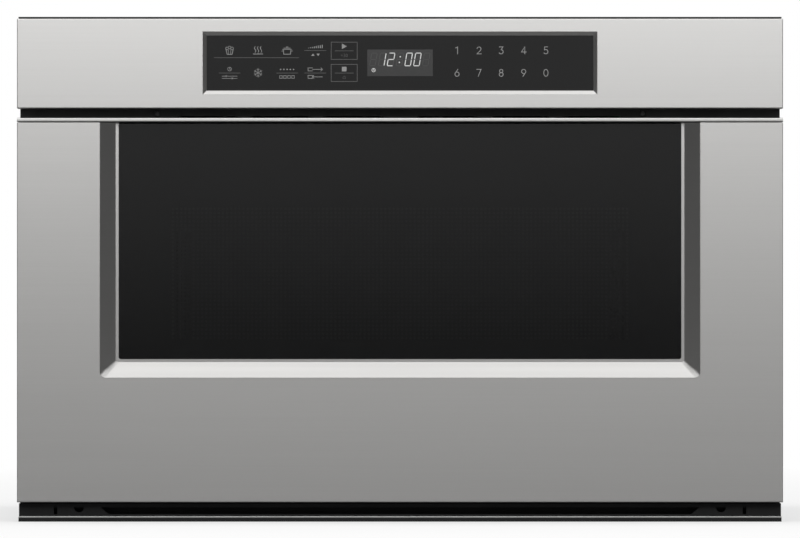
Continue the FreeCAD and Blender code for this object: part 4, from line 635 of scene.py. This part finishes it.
def printed(shell, outline, lift=ink_thick):
    """One closed patch of ink from an outline of (x, z) places in millimetres."""
    capped(shell, [spots(shell, [(x, glass_face + depth, z) for x, z in outline])
                   for depth in (ink_root, -lift)])


def stroke(shell, points, width=0.62, closed=False, lift=ink_thick):
    """A drawn line of even width, mitred at its corners, its ends square unless it closes on itself."""
    points = [Vector(point) for point in points]
    if (points[0] - points[-1]).length < 0.001:
        points.pop()
        closed = True
    ways = [(after - before).normalized() for before, after in zip(points, points[1:] + points[:1])]
    if not closed:
        ways[-1] = ways[-2]
        points[0] = points[0] - ways[0] * width / 2
        points[-1] = points[-1] + ways[-1] * width / 2
    rings = []
    for i, point in enumerate(points):
        before = ways[i - 1] if closed or i > 0 else ways[0]
        mitre = (before + ways[i]).normalized()
        side = Vector((-mitre.y, mitre.x)) * width / 2 / max(0.5, mitre.dot(ways[i]))
        one, other = point - side, point + side
        corners = ((one, ink_root), (other, ink_root), (other, -lift), (one, -lift))
        rings.append(spots(shell, [(place.x, glass_face + depth, place.y) for place, depth in corners]))
    if closed:
        tube(shell, rings)
    else:
        capped(shell, rings)


def round_points(x, z, radius, first=0, last=360, count=14):
    """Places on a circle, all round or on an arc of it."""
    steps = count if last - first == 360 else count - 1
    angles = [math.radians(first + (last - first) * i / steps) for i in range(count)]
    return [(x + radius * math.cos(angle), z + radius * math.sin(angle)) for angle in angles]


def rectangle(left, low, right, high):
    """The corners of an upright rectangle."""
    return [(left, low), (right, low), (right, high), (left, high)]


def popcorn_cup(shell, x, z):
    stroke(shell, [(x - 3.5, z + 0.7), (x - 2.4, z - 4.0), (x + 2.4, z - 4.0), (x + 3.5, z + 0.7)], 0.6)
    for shift in (-1.0, 1.0):
        stroke(shell, [(x + shift, z - 3.8), (x + shift * 1.3, z + 0.4)], 0.4)
    for shift, lift in ((-2.5, 1.9), (0, 2.8), (2.5, 1.9)):
        stroke(shell, round_points(x + shift, z + lift, 1.35, count=10), 0.5, closed=True)


def steam(shell, x, z):
    stroke(shell, [(x - 4.6, z - 3.6), (x + 4.6, z - 3.6)], 0.65)
    for shift in (-2.9, 0, 2.9):
        stroke(shell, [(x + shift + 0.75 * math.sin(i * 1.05), z - 2.0 + i * 0.95) for i in range(7)], 0.55)


def pot(shell, x, z):
    stroke(shell, [(x - 3.7, z + 1.0), (x - 3.4, z - 3.8), (x + 3.4, z - 3.8), (x + 3.7, z + 1.0)], 0.6)
    for half, level, width in ((4.4, 1.0, 0.6), (3.1, 2.2, 0.55), (0.8, 3.3, 0.65)):
        stroke(shell, [(x - half, z + level), (x + half, z + level)], width)
    for side in (1, -1):
        stroke(shell, [(x + 3.7 * side, z - 0.7), (x + 5.2 * side, z - 0.7)], 0.55)


def bars(shell, x, z):
    for i in range(8):
        left = x - 7.4 + i * 1.95
        printed(shell, rectangle(left, z - 1.7, left + 0.85, z - 1.2 + i * 0.42))


def arrow(shell, x, z, way):
    printed(shell, [(x - 1.7, z - 1.1 * way), (x + 1.7, z - 1.1 * way), (x, z + 1.3 * way)])


def clock(shell, x, z):
    stroke(shell, round_points(x, z, 1.85), 0.42, closed=True)
    stroke(shell, [(x, z + 1.1), (x, z), (x + 0.9, z - 0.3)], 0.4)


def sliders(shell, x, z):
    """Two lines, each with a knob somewhere along it."""
    for level, knob in ((1.1, -3.4), (-1.1, 2.6)):
        stroke(shell, [(x - 7.5, z + level), (x + 7.5, z + level)], 0.4)
        printed(shell, round_points(x + knob, z + level, 0.85, count=8))


def snowflake(shell, x, z):
    centre = Vector((x, z))
    for i in range(6):
        angle = i * math.pi / 3 + math.pi / 6
        way = Vector((math.cos(angle), math.sin(angle)))
        side = Vector((-way.y, way.x))
        fork, tip = centre + way * 2.4, centre + way * 3.5
        stroke(shell, [centre, centre + way * 4.2], 0.5)
        stroke(shell, [tip + side * 1.2, fork, tip - side * 1.2], 0.42)


def dots(shell, x, z):
    for i in range(5):
        printed(shell, round_points(x - 6.4 + i * 3.2, z, 0.72, count=8))


def squares(shell, x, z):
    for i in range(4):
        left = x - 7.4 + i * 4
        stroke(shell, rectangle(left, z - 1.3, left + 2.6, z + 1.3), 0.42, closed=True)


def drawer_way(shell, x, z, way):
    """An open box beside an arrow that shows which way it goes."""
    stroke(shell, [(x - 3, z + 1.5), (x - 7.4, z + 1.5), (x - 7.4, z - 1.5), (x - 3, z - 1.5)], 0.5)
    stroke(shell, [(x - 3, z), (x + 6.6, z)], 0.5)
    tip = x + (7.0 if way > 0 else -3.4)
    stroke(shell, [(tip - 1.7 * way, z + 1.5), (tip, z), (tip - 1.7 * way, z - 1.5)], 0.5)


def padlock(shell, x, z):
    stroke(shell, rectangle(x - 1.3, z - 1.5, x + 1.3, z + 0.1), 0.4, closed=True)
    stroke(shell, round_points(x, z + 0.2, 0.85, 0, 180, 7), 0.36)


def numerals(shell, text, x, z, tall):
    """Plain figures, centred, as patches of ink."""
    curve = bpy.data.curves.new("figures", "FONT")
    curve.body = text
    curve.align_x = "CENTER"
    curve.resolution_u = 3
    curve.extrude = 0.5
    mesh = plain_mesh(stand("figures", curve))
    heights = [vert.co.y for vert in mesh.vertices]
    scale = tall * MM / (max(heights) - min(heights))
    middle = (max(heights) + min(heights)) / 2
    thick = (ink_thick + ink_root) * MM
    for vert in mesh.vertices:
        across, up, out = vert.co
        vert.co = (across * scale + x * MM, (glass_face + ink_root) * MM - thick * (out + 0.5),
                   (up - middle) * scale + z * MM)
    shell.from_mesh(mesh)
    bpy.data.meshes.remove(mesh)


def ink(name, tone, glow=0.0):
    """Matt grey ink, or a lit bar where it glows."""
    return mottled(name, (tone, tone, tone * 0.99), shine=(0.55, 0.65), scale=900, spread=0.03,
                   Emission_Color=(tone, tone, tone, 1), Emission_Strength=glow)


upper_row, lower_row = 466.9, 444.6
first_column, second_column, third_column, fourth_column = -168.9, -140.7, -111.9, -83.7
start_key = -55.3
legends = bmesh.new()
popcorn_cup(legends, first_column, upper_row)
steam(legends, second_column, upper_row)
pot(legends, third_column, upper_row)
bars(legends, fourth_column, 470.7)
arrow(legends, fourth_column - 2.6, 462.5, 1)
arrow(legends, fourth_column + 2.6, 462.5, -1)
clock(legends, first_column, 448.3)
sliders(legends, first_column, 440.2)
snowflake(legends, second_column, lower_row)
dots(legends, third_column, 448.0)
squares(legends, third_column, 440.5)
drawer_way(legends, fourth_column, 448.0, 1)
drawer_way(legends, fourth_column, 440.6, -1)
fit("key_symbols", legends, ink("grey_ink", 0.38), "chassis", "touch_glass")

# Each digit is drawn as lines in a box 0.62 wide and 1 tall.
DIGITS = {
    "0": [round_points(0.31, 0.5, 0.31, 90, 450, 17) + [(0.31, 0.81)]],
    "1": [[(0.12, 0.84), (0.4, 1), (0.4, 0)]],
    "2": [round_points(0.31, 0.7, 0.29, 165, -35, 10) + [(0.02, 0), (0.64, 0)]],
    "3": [[(0.06, 1), (0.56, 1), (0.3, 0.61)] + round_points(0.28, 0.3, 0.31, 80, -145, 10)],
    "4": [[(0.46, 0), (0.46, 1), (0.0, 0.27)], [(0.05, 0.27), (0.66, 0.27)]],
    "5": [[(0.56, 1), (0.14, 1), (0.09, 0.56)] + round_points(0.29, 0.31, 0.31, 115, -140, 11)],
    "6": [round_points(0.31, 0.31, 0.31, 0, 360, 14) + [(0.62, 0.31)], [(0.05, 0.45), (0.42, 1)]],
    "7": [[(0.0, 1), (0.6, 1), (0.2, 0)]],
    "8": [round_points(0.31, 0.755, 0.245, 0, 360, 12) + [(0.555, 0.755)],
          round_points(0.31, 0.275, 0.285, 0, 360, 13) + [(0.595, 0.275)]],
    "9": [round_points(0.31, 0.69, 0.31, 0, 360, 14) + [(0.62, 0.69)], [(0.57, 0.55), (0.2, 0)]]}


def thin_digit(shell, digit, x, z, tall=6.9):
    """A digit of even thin lines, centred. Each line lies a little over the one before."""
    squeeze = 1.6 if digit == "0" else 1.0
    for number, run in enumerate(DIGITS[digit]):
        places = [(x + (u - 0.31) * tall, z + (v - 0.5) * squeeze * tall) for u, v in run]
        stroke(shell, places, width=0.68, lift=ink_thick + number * 0.01)


bright_keys = bmesh.new()
for digits, level in (("12345", upper_row), ("67890", lower_row)):
    for digit, x in zip(digits, (56.5, 78.3, 100.3, 122.6, 144.6)):
        thin_digit(bright_keys, digit, x, level)
printed(bright_keys, [(-57.6, 473.6), (-57.6, 468.2), (-52.6, 470.9)])
printed(bright_keys, rectangle(-57.6, 446.0, -53.0, 450.6))
fit("number_keys", bright_keys, ink("pale_ink", 0.38), "chassis", "touch_glass")

rules = bmesh.new()
for left, right, level in ((-184.3, -100.4, 459.6), (-94.6, -73.3, 466.7), (-179.3, -158.5, 444.4),
                           (-122.3, -101.1, 444.4), (-94.6, -73.3, 444.4), (-64.4, -46.2, 466.4),
                           (-64.4, -46.2, 444.4)):
    stroke(rules, [(left, level), (right, level)], 0.45)
for low, high in ((457.9, 475.0), (436.0, 453.0)):
    stroke(rules, rectangle(-68.2, low, -42.4, high), 0.55, closed=True)
fit("key_rules", rules, ink("dim_rule_ink", 0.14), "chassis", "touch_glass")

faint = bmesh.new()
numerals(faint, "+30", start_key, 461.9, 3.2)
padlock(faint, start_key, 440.4)
fit("second_functions", faint, ink("faint_ink", 0.085), "chassis", "touch_glass")


# ------------------------ display
# A smoked filter over seven slanted figures of a lit display, each of seven bars.
# A plain time shows, with the unlit bars just visible.
smoked = mottled("smoked_filter", (0.045, 0.045, 0.045), shine=(0.18, 0.22), scale=300, spread=0.05)
shell = bmesh.new()
printed(shell, rectangle(-32.4, 441.4, 32.5, 467.7), 0.02)
fit("display_filter", shell, smoked, "chassis", "display_plastic")

BARS = {"a": ((0.12, 1), (0.88, 1)), "b": ((1, 0.94), (1, 0.56)), "c": ((1, 0.44), (1, 0.06)),
        "d": ((0.12, 0), (0.88, 0)), "e": ((0, 0.44), (0, 0.06)), "f": ((0, 0.94), (0, 0.56)),
        "g": ((0.12, 0.5), (0.88, 0.5))}
LIT = {"0": "abcdef", "1": "bc", "2": "abged", " ": ""}
first_figure, figure_pitch, colon_place = -30.2, 8.72, 3
figure_low, figure_tall, figure_wide, slant = 451.6, 12.6, 5.6, 0.17
lit, unlit = bmesh.new(), bmesh.new()
for place, figure in enumerate(" 12 00 "):
    left = first_figure + place * figure_pitch
    for bar, run in BARS.items():
        ends = [(left + u * figure_wide + v * figure_tall * slant, figure_low + v * figure_tall)
                for u, v in run]
        stroke(*((lit, ends, 0.8) if bar in LIT[figure] else (unlit, ends, 0.6)))
for level in (455.0, 460.6):
    middle = first_figure + colon_place * figure_pitch + figure_wide / 2 + (level - figure_low) * slant
    printed(lit, round_points(middle, level, 0.75, count=8), 0.055)
stroke(lit, round_points(-26.2, 447.3, 1.7, count=12), 0.5, closed=True)
stroke(lit, [(-26.2, 448.3), (-26.2, 447.3), (-25.4, 446.9)], 0.45)
fit("lit_figures", lit, ink("lit_bars", 0.75, 0.25), "chassis", "display_plastic")
fit("unlit_figures", unlit, ink("unlit_bars", 0.062), "chassis", "display_plastic")


# ------------------------ drawer front
# A folded brushed-steel skin, an aluminium bar along its top edge and a deep mitred bevel round the window,
# clipped together over the inner panel.
dress(brushed("brushed_steel_door", (0.59, 0.585, 0.575), 0.36), "door_skin")
dress(brushed("brushed_steel_bevel", (0.60, 0.595, 0.585), 0.32, 1000), "window_bezel")
dress(mottled("satin_aluminium", (0.62, 0.62, 0.61), shine=(0.33, 0.39), scale=1.0, spread=0.02,
              metallic=1.0, stretch=(5, 5, 900)), "door_top_trim")


# ------------------------ door glass and its printed border
# Toughened dark glass, held behind the bevel.
# Its black border is fired on behind and leaves the middle clear over the screen.
dress(mottled("dark_glass", (0.10, 0.101, 0.102), shine=(0.015, 0.03), scale=6, spread=0.02,
              Transmission_Weight=0.97, IOR=1.5), "door_glass")
glass_low, glass_high = mm_box("door_glass")
border_inset, border_gap, border_thick = 2, 0.02, 0.1
outer = rectangle(glass_low[0] + border_inset, glass_low[2] + border_inset,
                  glass_high[0] - border_inset, glass_high[2] - border_inset)
clear = rectangle(-227.8, 180.0, 227.8, 311.6)
shell = bmesh.new()
border_front = glass_high[1] + border_gap
tube(shell, [spots(shell, [(x, y, z) for x, z in loop]) for loop, y in (
    (outer, border_front), (clear, border_front), (clear, border_front + border_thick),
    (outer, border_front + border_thick))])
border_black = mottled("fired_black_border", (0.012, 0.012, 0.012), shine=(0.45, 0.55), scale=200,
                       spread=0.1)
fit("glass_border", shell, border_black, "drawer", "door_glass")


# ------------------------ perforated screen
# Thin steel, pierced all over and painted black, fixed in the window behind the glass.
# It keeps the microwaves in and lets the eye through.
def perforated_tree():
    """Geometry nodes that tile one pierced cell over a rectangle and weld the cells into a sheet."""
    tree, given = new_tree("pierced_sheet", Places="Geometry", Cell="Object", Width="Float", Height="Float",
                           Pitch="Float", Finish="Material")
    sizes = {}
    for side, axis in (("Width", "X"), ("Height", "Y")):
        count = reckon(tree, "ROUND", reckon(tree, "DIVIDE", given[side], given["Pitch"]))
        back = reckon(tree, "MULTIPLY", given["Pitch"], -1)
        sizes["Vertices " + axis] = count
        sizes["Size " + axis] = reckon(tree, "MULTIPLY_ADD", count, given["Pitch"], back)
    grid = add(tree, "GeometryNodeMeshGrid", sizes)
    cell = add(tree, "GeometryNodeObjectInfo", {"Object": given["Cell"]}).outputs["Geometry"]
    copies = add(tree, "GeometryNodeInstanceOnPoints", {"Points": grid, "Instance": cell})
    plain = add(tree, "GeometryNodeRealizeInstances", {"Geometry": copies})
    welded = add(tree, "GeometryNodeMergeByDistance", {"Geometry": plain, "Distance": 0.00001})
    coat = add(tree, "GeometryNodeSetMaterial", {"Geometry": welded, "Material": given["Finish"]})
    add(tree, "NodeGroupOutput", {"Result": coat})
    return tree


def pierced_cell(pitch, hole, thick, sides=8):
    """A square of sheet with one hole, open at its sides so that cells join."""
    shell, rims = bmesh.new(), []
    angles = [2 * math.pi * (i + 0.5) / sides for i in range(sides)]
    ways = [(math.cos(angle), math.sin(angle)) for angle in angles]
    edge_ways = [(x / max(abs(x), abs(y)), y / max(abs(x), abs(y))) for x, y in ways]
    corner_ways = ((1, 1), (-1, 1), (-1, -1), (1, -1))
    for height in (thick / 2, -thick / 2):
        rim, edge, outer = [
            spots(shell, [(half * x, half * y, height) for x, y in places])
            for half, places in ((hole / 2, ways), (pitch / 2, edge_ways), (pitch / 2, corner_ways))]
        for i in range(sides):
            j = (i + 1) % sides
            between = [outer[i // 2]] if i % 2 == 0 else []
            shell.faces.new([rim[i], edge[i], *between, edge[j], rim[j]])
        rims.append(rim)
    skin_between(shell, *rims)
    return shell


matt_black = mottled("matt_black_screen", (0.035, 0.035, 0.036), shine=(0.55, 0.68), scale=120, spread=0.12)
screen_low, screen_high = mm_box("window_screen")
screen_mid = (screen_low[1] + screen_high[1]) / 2
hole_pitch = 4.145
cell = to_object("pierced_cell", pierced_cell(hole_pitch, hole=2.8, thick=0.5))
mesh = made_by(perforated_tree(), points_object([(0, 0, 0)]), Cell=cell, Width=456 * MM, Height=132 * MM,
               Pitch=hole_pitch * MM, Finish=matt_black)
bpy.data.objects.remove(cell)
shell = bmesh.new()
shell.from_mesh(mesh)
bpy.data.meshes.remove(mesh)
upright = Matrix.Translation((0, screen_mid * MM, 245.8 * MM)) @ Matrix.Rotation(quarter, 4, "X")
bmesh.ops.transform(shell, matrix=upright, verts=shell.verts)
# The plain margins round the pierced field.
sheet_left, sheet_right, sheet_low, sheet_high = screen_low[0], screen_high[0], 174.2, 317.4
for left, low, right, high in (
        (sheet_left, sheet_low, -227.9, sheet_high), (227.9, sheet_low, sheet_right, sheet_high),
        (-227.9, sheet_low, 227.9, 179.9), (-227.9, 311.7, 227.9, sheet_high)):
    block(shell, (left, screen_mid - 0.3, low), (right, screen_mid + 0.3, high))
fit("pierced_screen", shell, matt_black, "drawer", "screen_paint", "window_screen")


# ------------------------ choke, cover and back of the drawer front
# A painted steel channel round the opening stops microwaves. A moulded cover closes it, and rubber bumpers
# meet the frame.
dress(mottled("dark_grey_paint", (0.10, 0.10, 0.105), shine=(0.38, 0.48), scale=14, spread=0.1,
              bump=(900, 0.03)), "door_choke_frame")
dress(mottled("choke_cover_plastic", (0.04, 0.04, 0.042), shine=(0.45, 0.58), scale=80, spread=0.12,
              bump=(1200, 0.03)), "choke_cover")
dress(mottled("bumper_rubber", (0.05, 0.05, 0.05), shine=(0.7, 0.82), scale=200, spread=0.15,
              bump=(1200, 0.04)), "door_bumpers")
panel_back = -256.0
fixings("door_back_screws", pan_head, 3.0, [
    (OUT_BACK, [(x, panel_back, z) for x in (-366, 366) for z in (34, 128, 222, 316, 386)]
     + [(x, panel_back, z) for x in (-180, -60, 60, 180) for z in (34, 386)])],
    black_screw, "drawer", "black_paint")


# ------------------------ drawer box and its tray
# Enamelled steel walls with rolled rims, welded to an enamelled floor.
# The toughened glass tray lies loose on it and has a faint pebbled underside.
dress(enamel, "drawer_floor", "drawer_side_right", "drawer_side_left", "drawer_rear")
tray_glass = mottled("tray_glass", (0.80, 0.84, 0.82), shine=(0.1, 0.2), scale=30, spread=0.015,
                     Transmission_Weight=0.3, IOR=1.5)
relief(tray_glass, grain(tray_glass, 260, kind="CELLS"), 0.05, 0.5)
dress(tray_glass, "glass_tray")


# ------------------------ floor, light and camera
# A white studio floor that keeps the object's shadow, with a painted contact shadow close round it, two
# wide lamps, and a pale room round them.
# The camera sees the floor white. The metal and the glass mirror a dim one.
mesh = bpy.data.meshes.new("studio_floor")
mesh.from_pydata([(x, y, -0.0003) for x, y in rectangle(-6, -6, 6, 6)], [], [(0, 1, 2, 3)])
floor = stand("studio_floor", mesh)
floor_white = finish("floor_white", (0.95, 0.95, 0.95), 0.9)
tree = floor_white.node_tree


def share(tree, start, span, value):
    """The start, and the span times the value."""
    return reckon(tree, "ADD", start, reckon(tree, "MULTIPLY", value, span))


ray = add(tree, "ShaderNodeLightPath").outputs
by_camera = reckon(tree, "MAXIMUM", ray["Is Camera Ray"], ray["Is Transmission Ray"])
tree.links.new(share(tree, 0.12, 0.83, by_camera).outputs[0], shader(floor_white)["Base Color"])
place = add(tree, "ShaderNodeTexCoord").outputs["Object"]
reach = add(tree, "ShaderNodeVectorMath", {0: place}, operation="LENGTH").outputs["Value"]
fade = add(tree, "ShaderNodeMapRange", {
    "Value": reach, "From Min": 0.6, "From Max": 2.2, "To Min": 0.76, "To Max": 1.0})
# Near the object the white that the camera sees dims with ambient occlusion: a painted contact shadow over
# the real one.
close = add(tree, "ShaderNodeAmbientOcclusion", {"Distance": 0.18}).outputs["AO"]
glow = add(tree, "ShaderNodeEmission", {"Strength": share(tree, 0.65, 0.35, close)})
seen = reckon(tree, "MAXIMUM", reckon(tree, "MULTIPLY", by_camera, fade),
              reckon(tree, "MULTIPLY", ray["Is Glossy Ray"], 0.06))
blend = add(tree, "ShaderNodeMixShader", {
    "Fac": seen, 1: tree.nodes["Principled BSDF"].outputs["BSDF"], 2: glow})
tree.links.new(blend.outputs["Shader"], tree.nodes["Material Output"].inputs["Surface"])
mesh.materials.append(floor_white)

room = bpy.data.worlds.new("studio_room")
bpy.context.scene.world = room
room.use_nodes = True
tree = room.node_tree
towards = add(tree, "ShaderNodeTexCoord").outputs["Generated"]
way = add(tree, "ShaderNodeSeparateXYZ", {"Vector": towards}).outputs


def step(value, *stops):
    """A grey ramp of (place, brightness) stops over a value from -1 to 1."""
    shift = add(tree, "ShaderNodeMapRange", {"Value": value, "From Min": -1})
    ramp = add(tree, "ShaderNodeValToRGB", {"Fac": shift})
    elements = ramp.color_ramp.elements
    elements[0].position, elements[1].position = (stops[0][0] + 1) / 2, (stops[-1][0] + 1) / 2
    for place, _ in stops[1:-1]:
        elements.new((place + 1) / 2)
    for element, (_, grey) in zip(elements, stops):
        element.color = (grey, grey, grey, 1)
    return ramp


# Dim below the horizon, a bright band just over it, dark above that, and brighter towards the ceiling.
walls = step(way["Z"], (-1, 0.12), (-0.012, 0.05), (0.014, 0.42), (0.05, 0.46), (0.1, 0.08), (0.5, 0.2),
             (0.8, 0.8), (1, 0.95))
# Dark screens stand at both sides in front, which the upright bevels mirror.
sideways = reckon(tree, "MAXIMUM", way["X"], reckon(tree, "MULTIPLY", way["X"], -1))
screens = reckon(tree, "MULTIPLY", step(sideways, (0.72, 0), (0.82, 1)),
                 step(way["Y"], (-0.58, 0), (-0.46, 1), (-0.1, 1), (-0.02, 0)))
unscreened = reckon(tree, "SUBTRACT", 1.0, reckon(tree, "MULTIPLY", screens, 0.82))
walls = reckon(tree, "MULTIPLY", walls, unscreened)
# The backdrop is plain white to the camera and in what metal and glass mirror of it.
ray = add(tree, "ShaderNodeLightPath").outputs
seen = reckon(tree, "MAXIMUM", ray["Is Camera Ray"], ray["Is Transmission Ray"])
mirrored = reckon(tree, "MULTIPLY", ray["Is Glossy Ray"], step(way["Y"], (0.02, 0), (0.12, 1)))
seen = reckon(tree, "MAXIMUM", seen, mirrored)
white = reckon(tree, "MULTIPLY", seen, reckon(tree, "SUBTRACT", 1.0, walls))
tree.links.new(reckon(tree, "ADD", walls, white).outputs[0], tree.nodes["Background"].inputs["Color"])


def lamp(name, width, height, power, at, towards):
    """A wide soft lamp."""
    light = bpy.data.lights.new(name, "AREA")
    light.shape = "RECTANGLE"
    light.size, light.size_y = width, height
    light.energy = power
    holder = stand(name, light)
    holder.location = at
    holder.rotation_euler = (Vector(towards) - Vector(at)).to_track_quat("-Z", "Y").to_euler()


lamp("front_lamp", 2.8, 1.2, 24, at=(0, -2.0, 1.17), towards=(0, -0.3, 1.17))
lamp("top_lamp", 2.0, 1.4, 9, at=(0, -0.2, 2.3), towards=(0, 0, 0.3))

# A long lens far off, square to the front, shows the front without its sides.
camera = bpy.data.cameras.new("camera")
camera.lens = 400
camera_holder = stand("camera", camera)
camera_holder.location = (0, -9.102, 0.2502)
camera_holder.rotation_euler = (quarter, 0, 0)
bpy.context.scene.camera = camera_holder
bpy.context.scene.view_settings.view_transform = "Standard"

for pattern in (pan_head, rivet_head, hood, weld, ball):
    bpy.data.objects.remove(pattern)
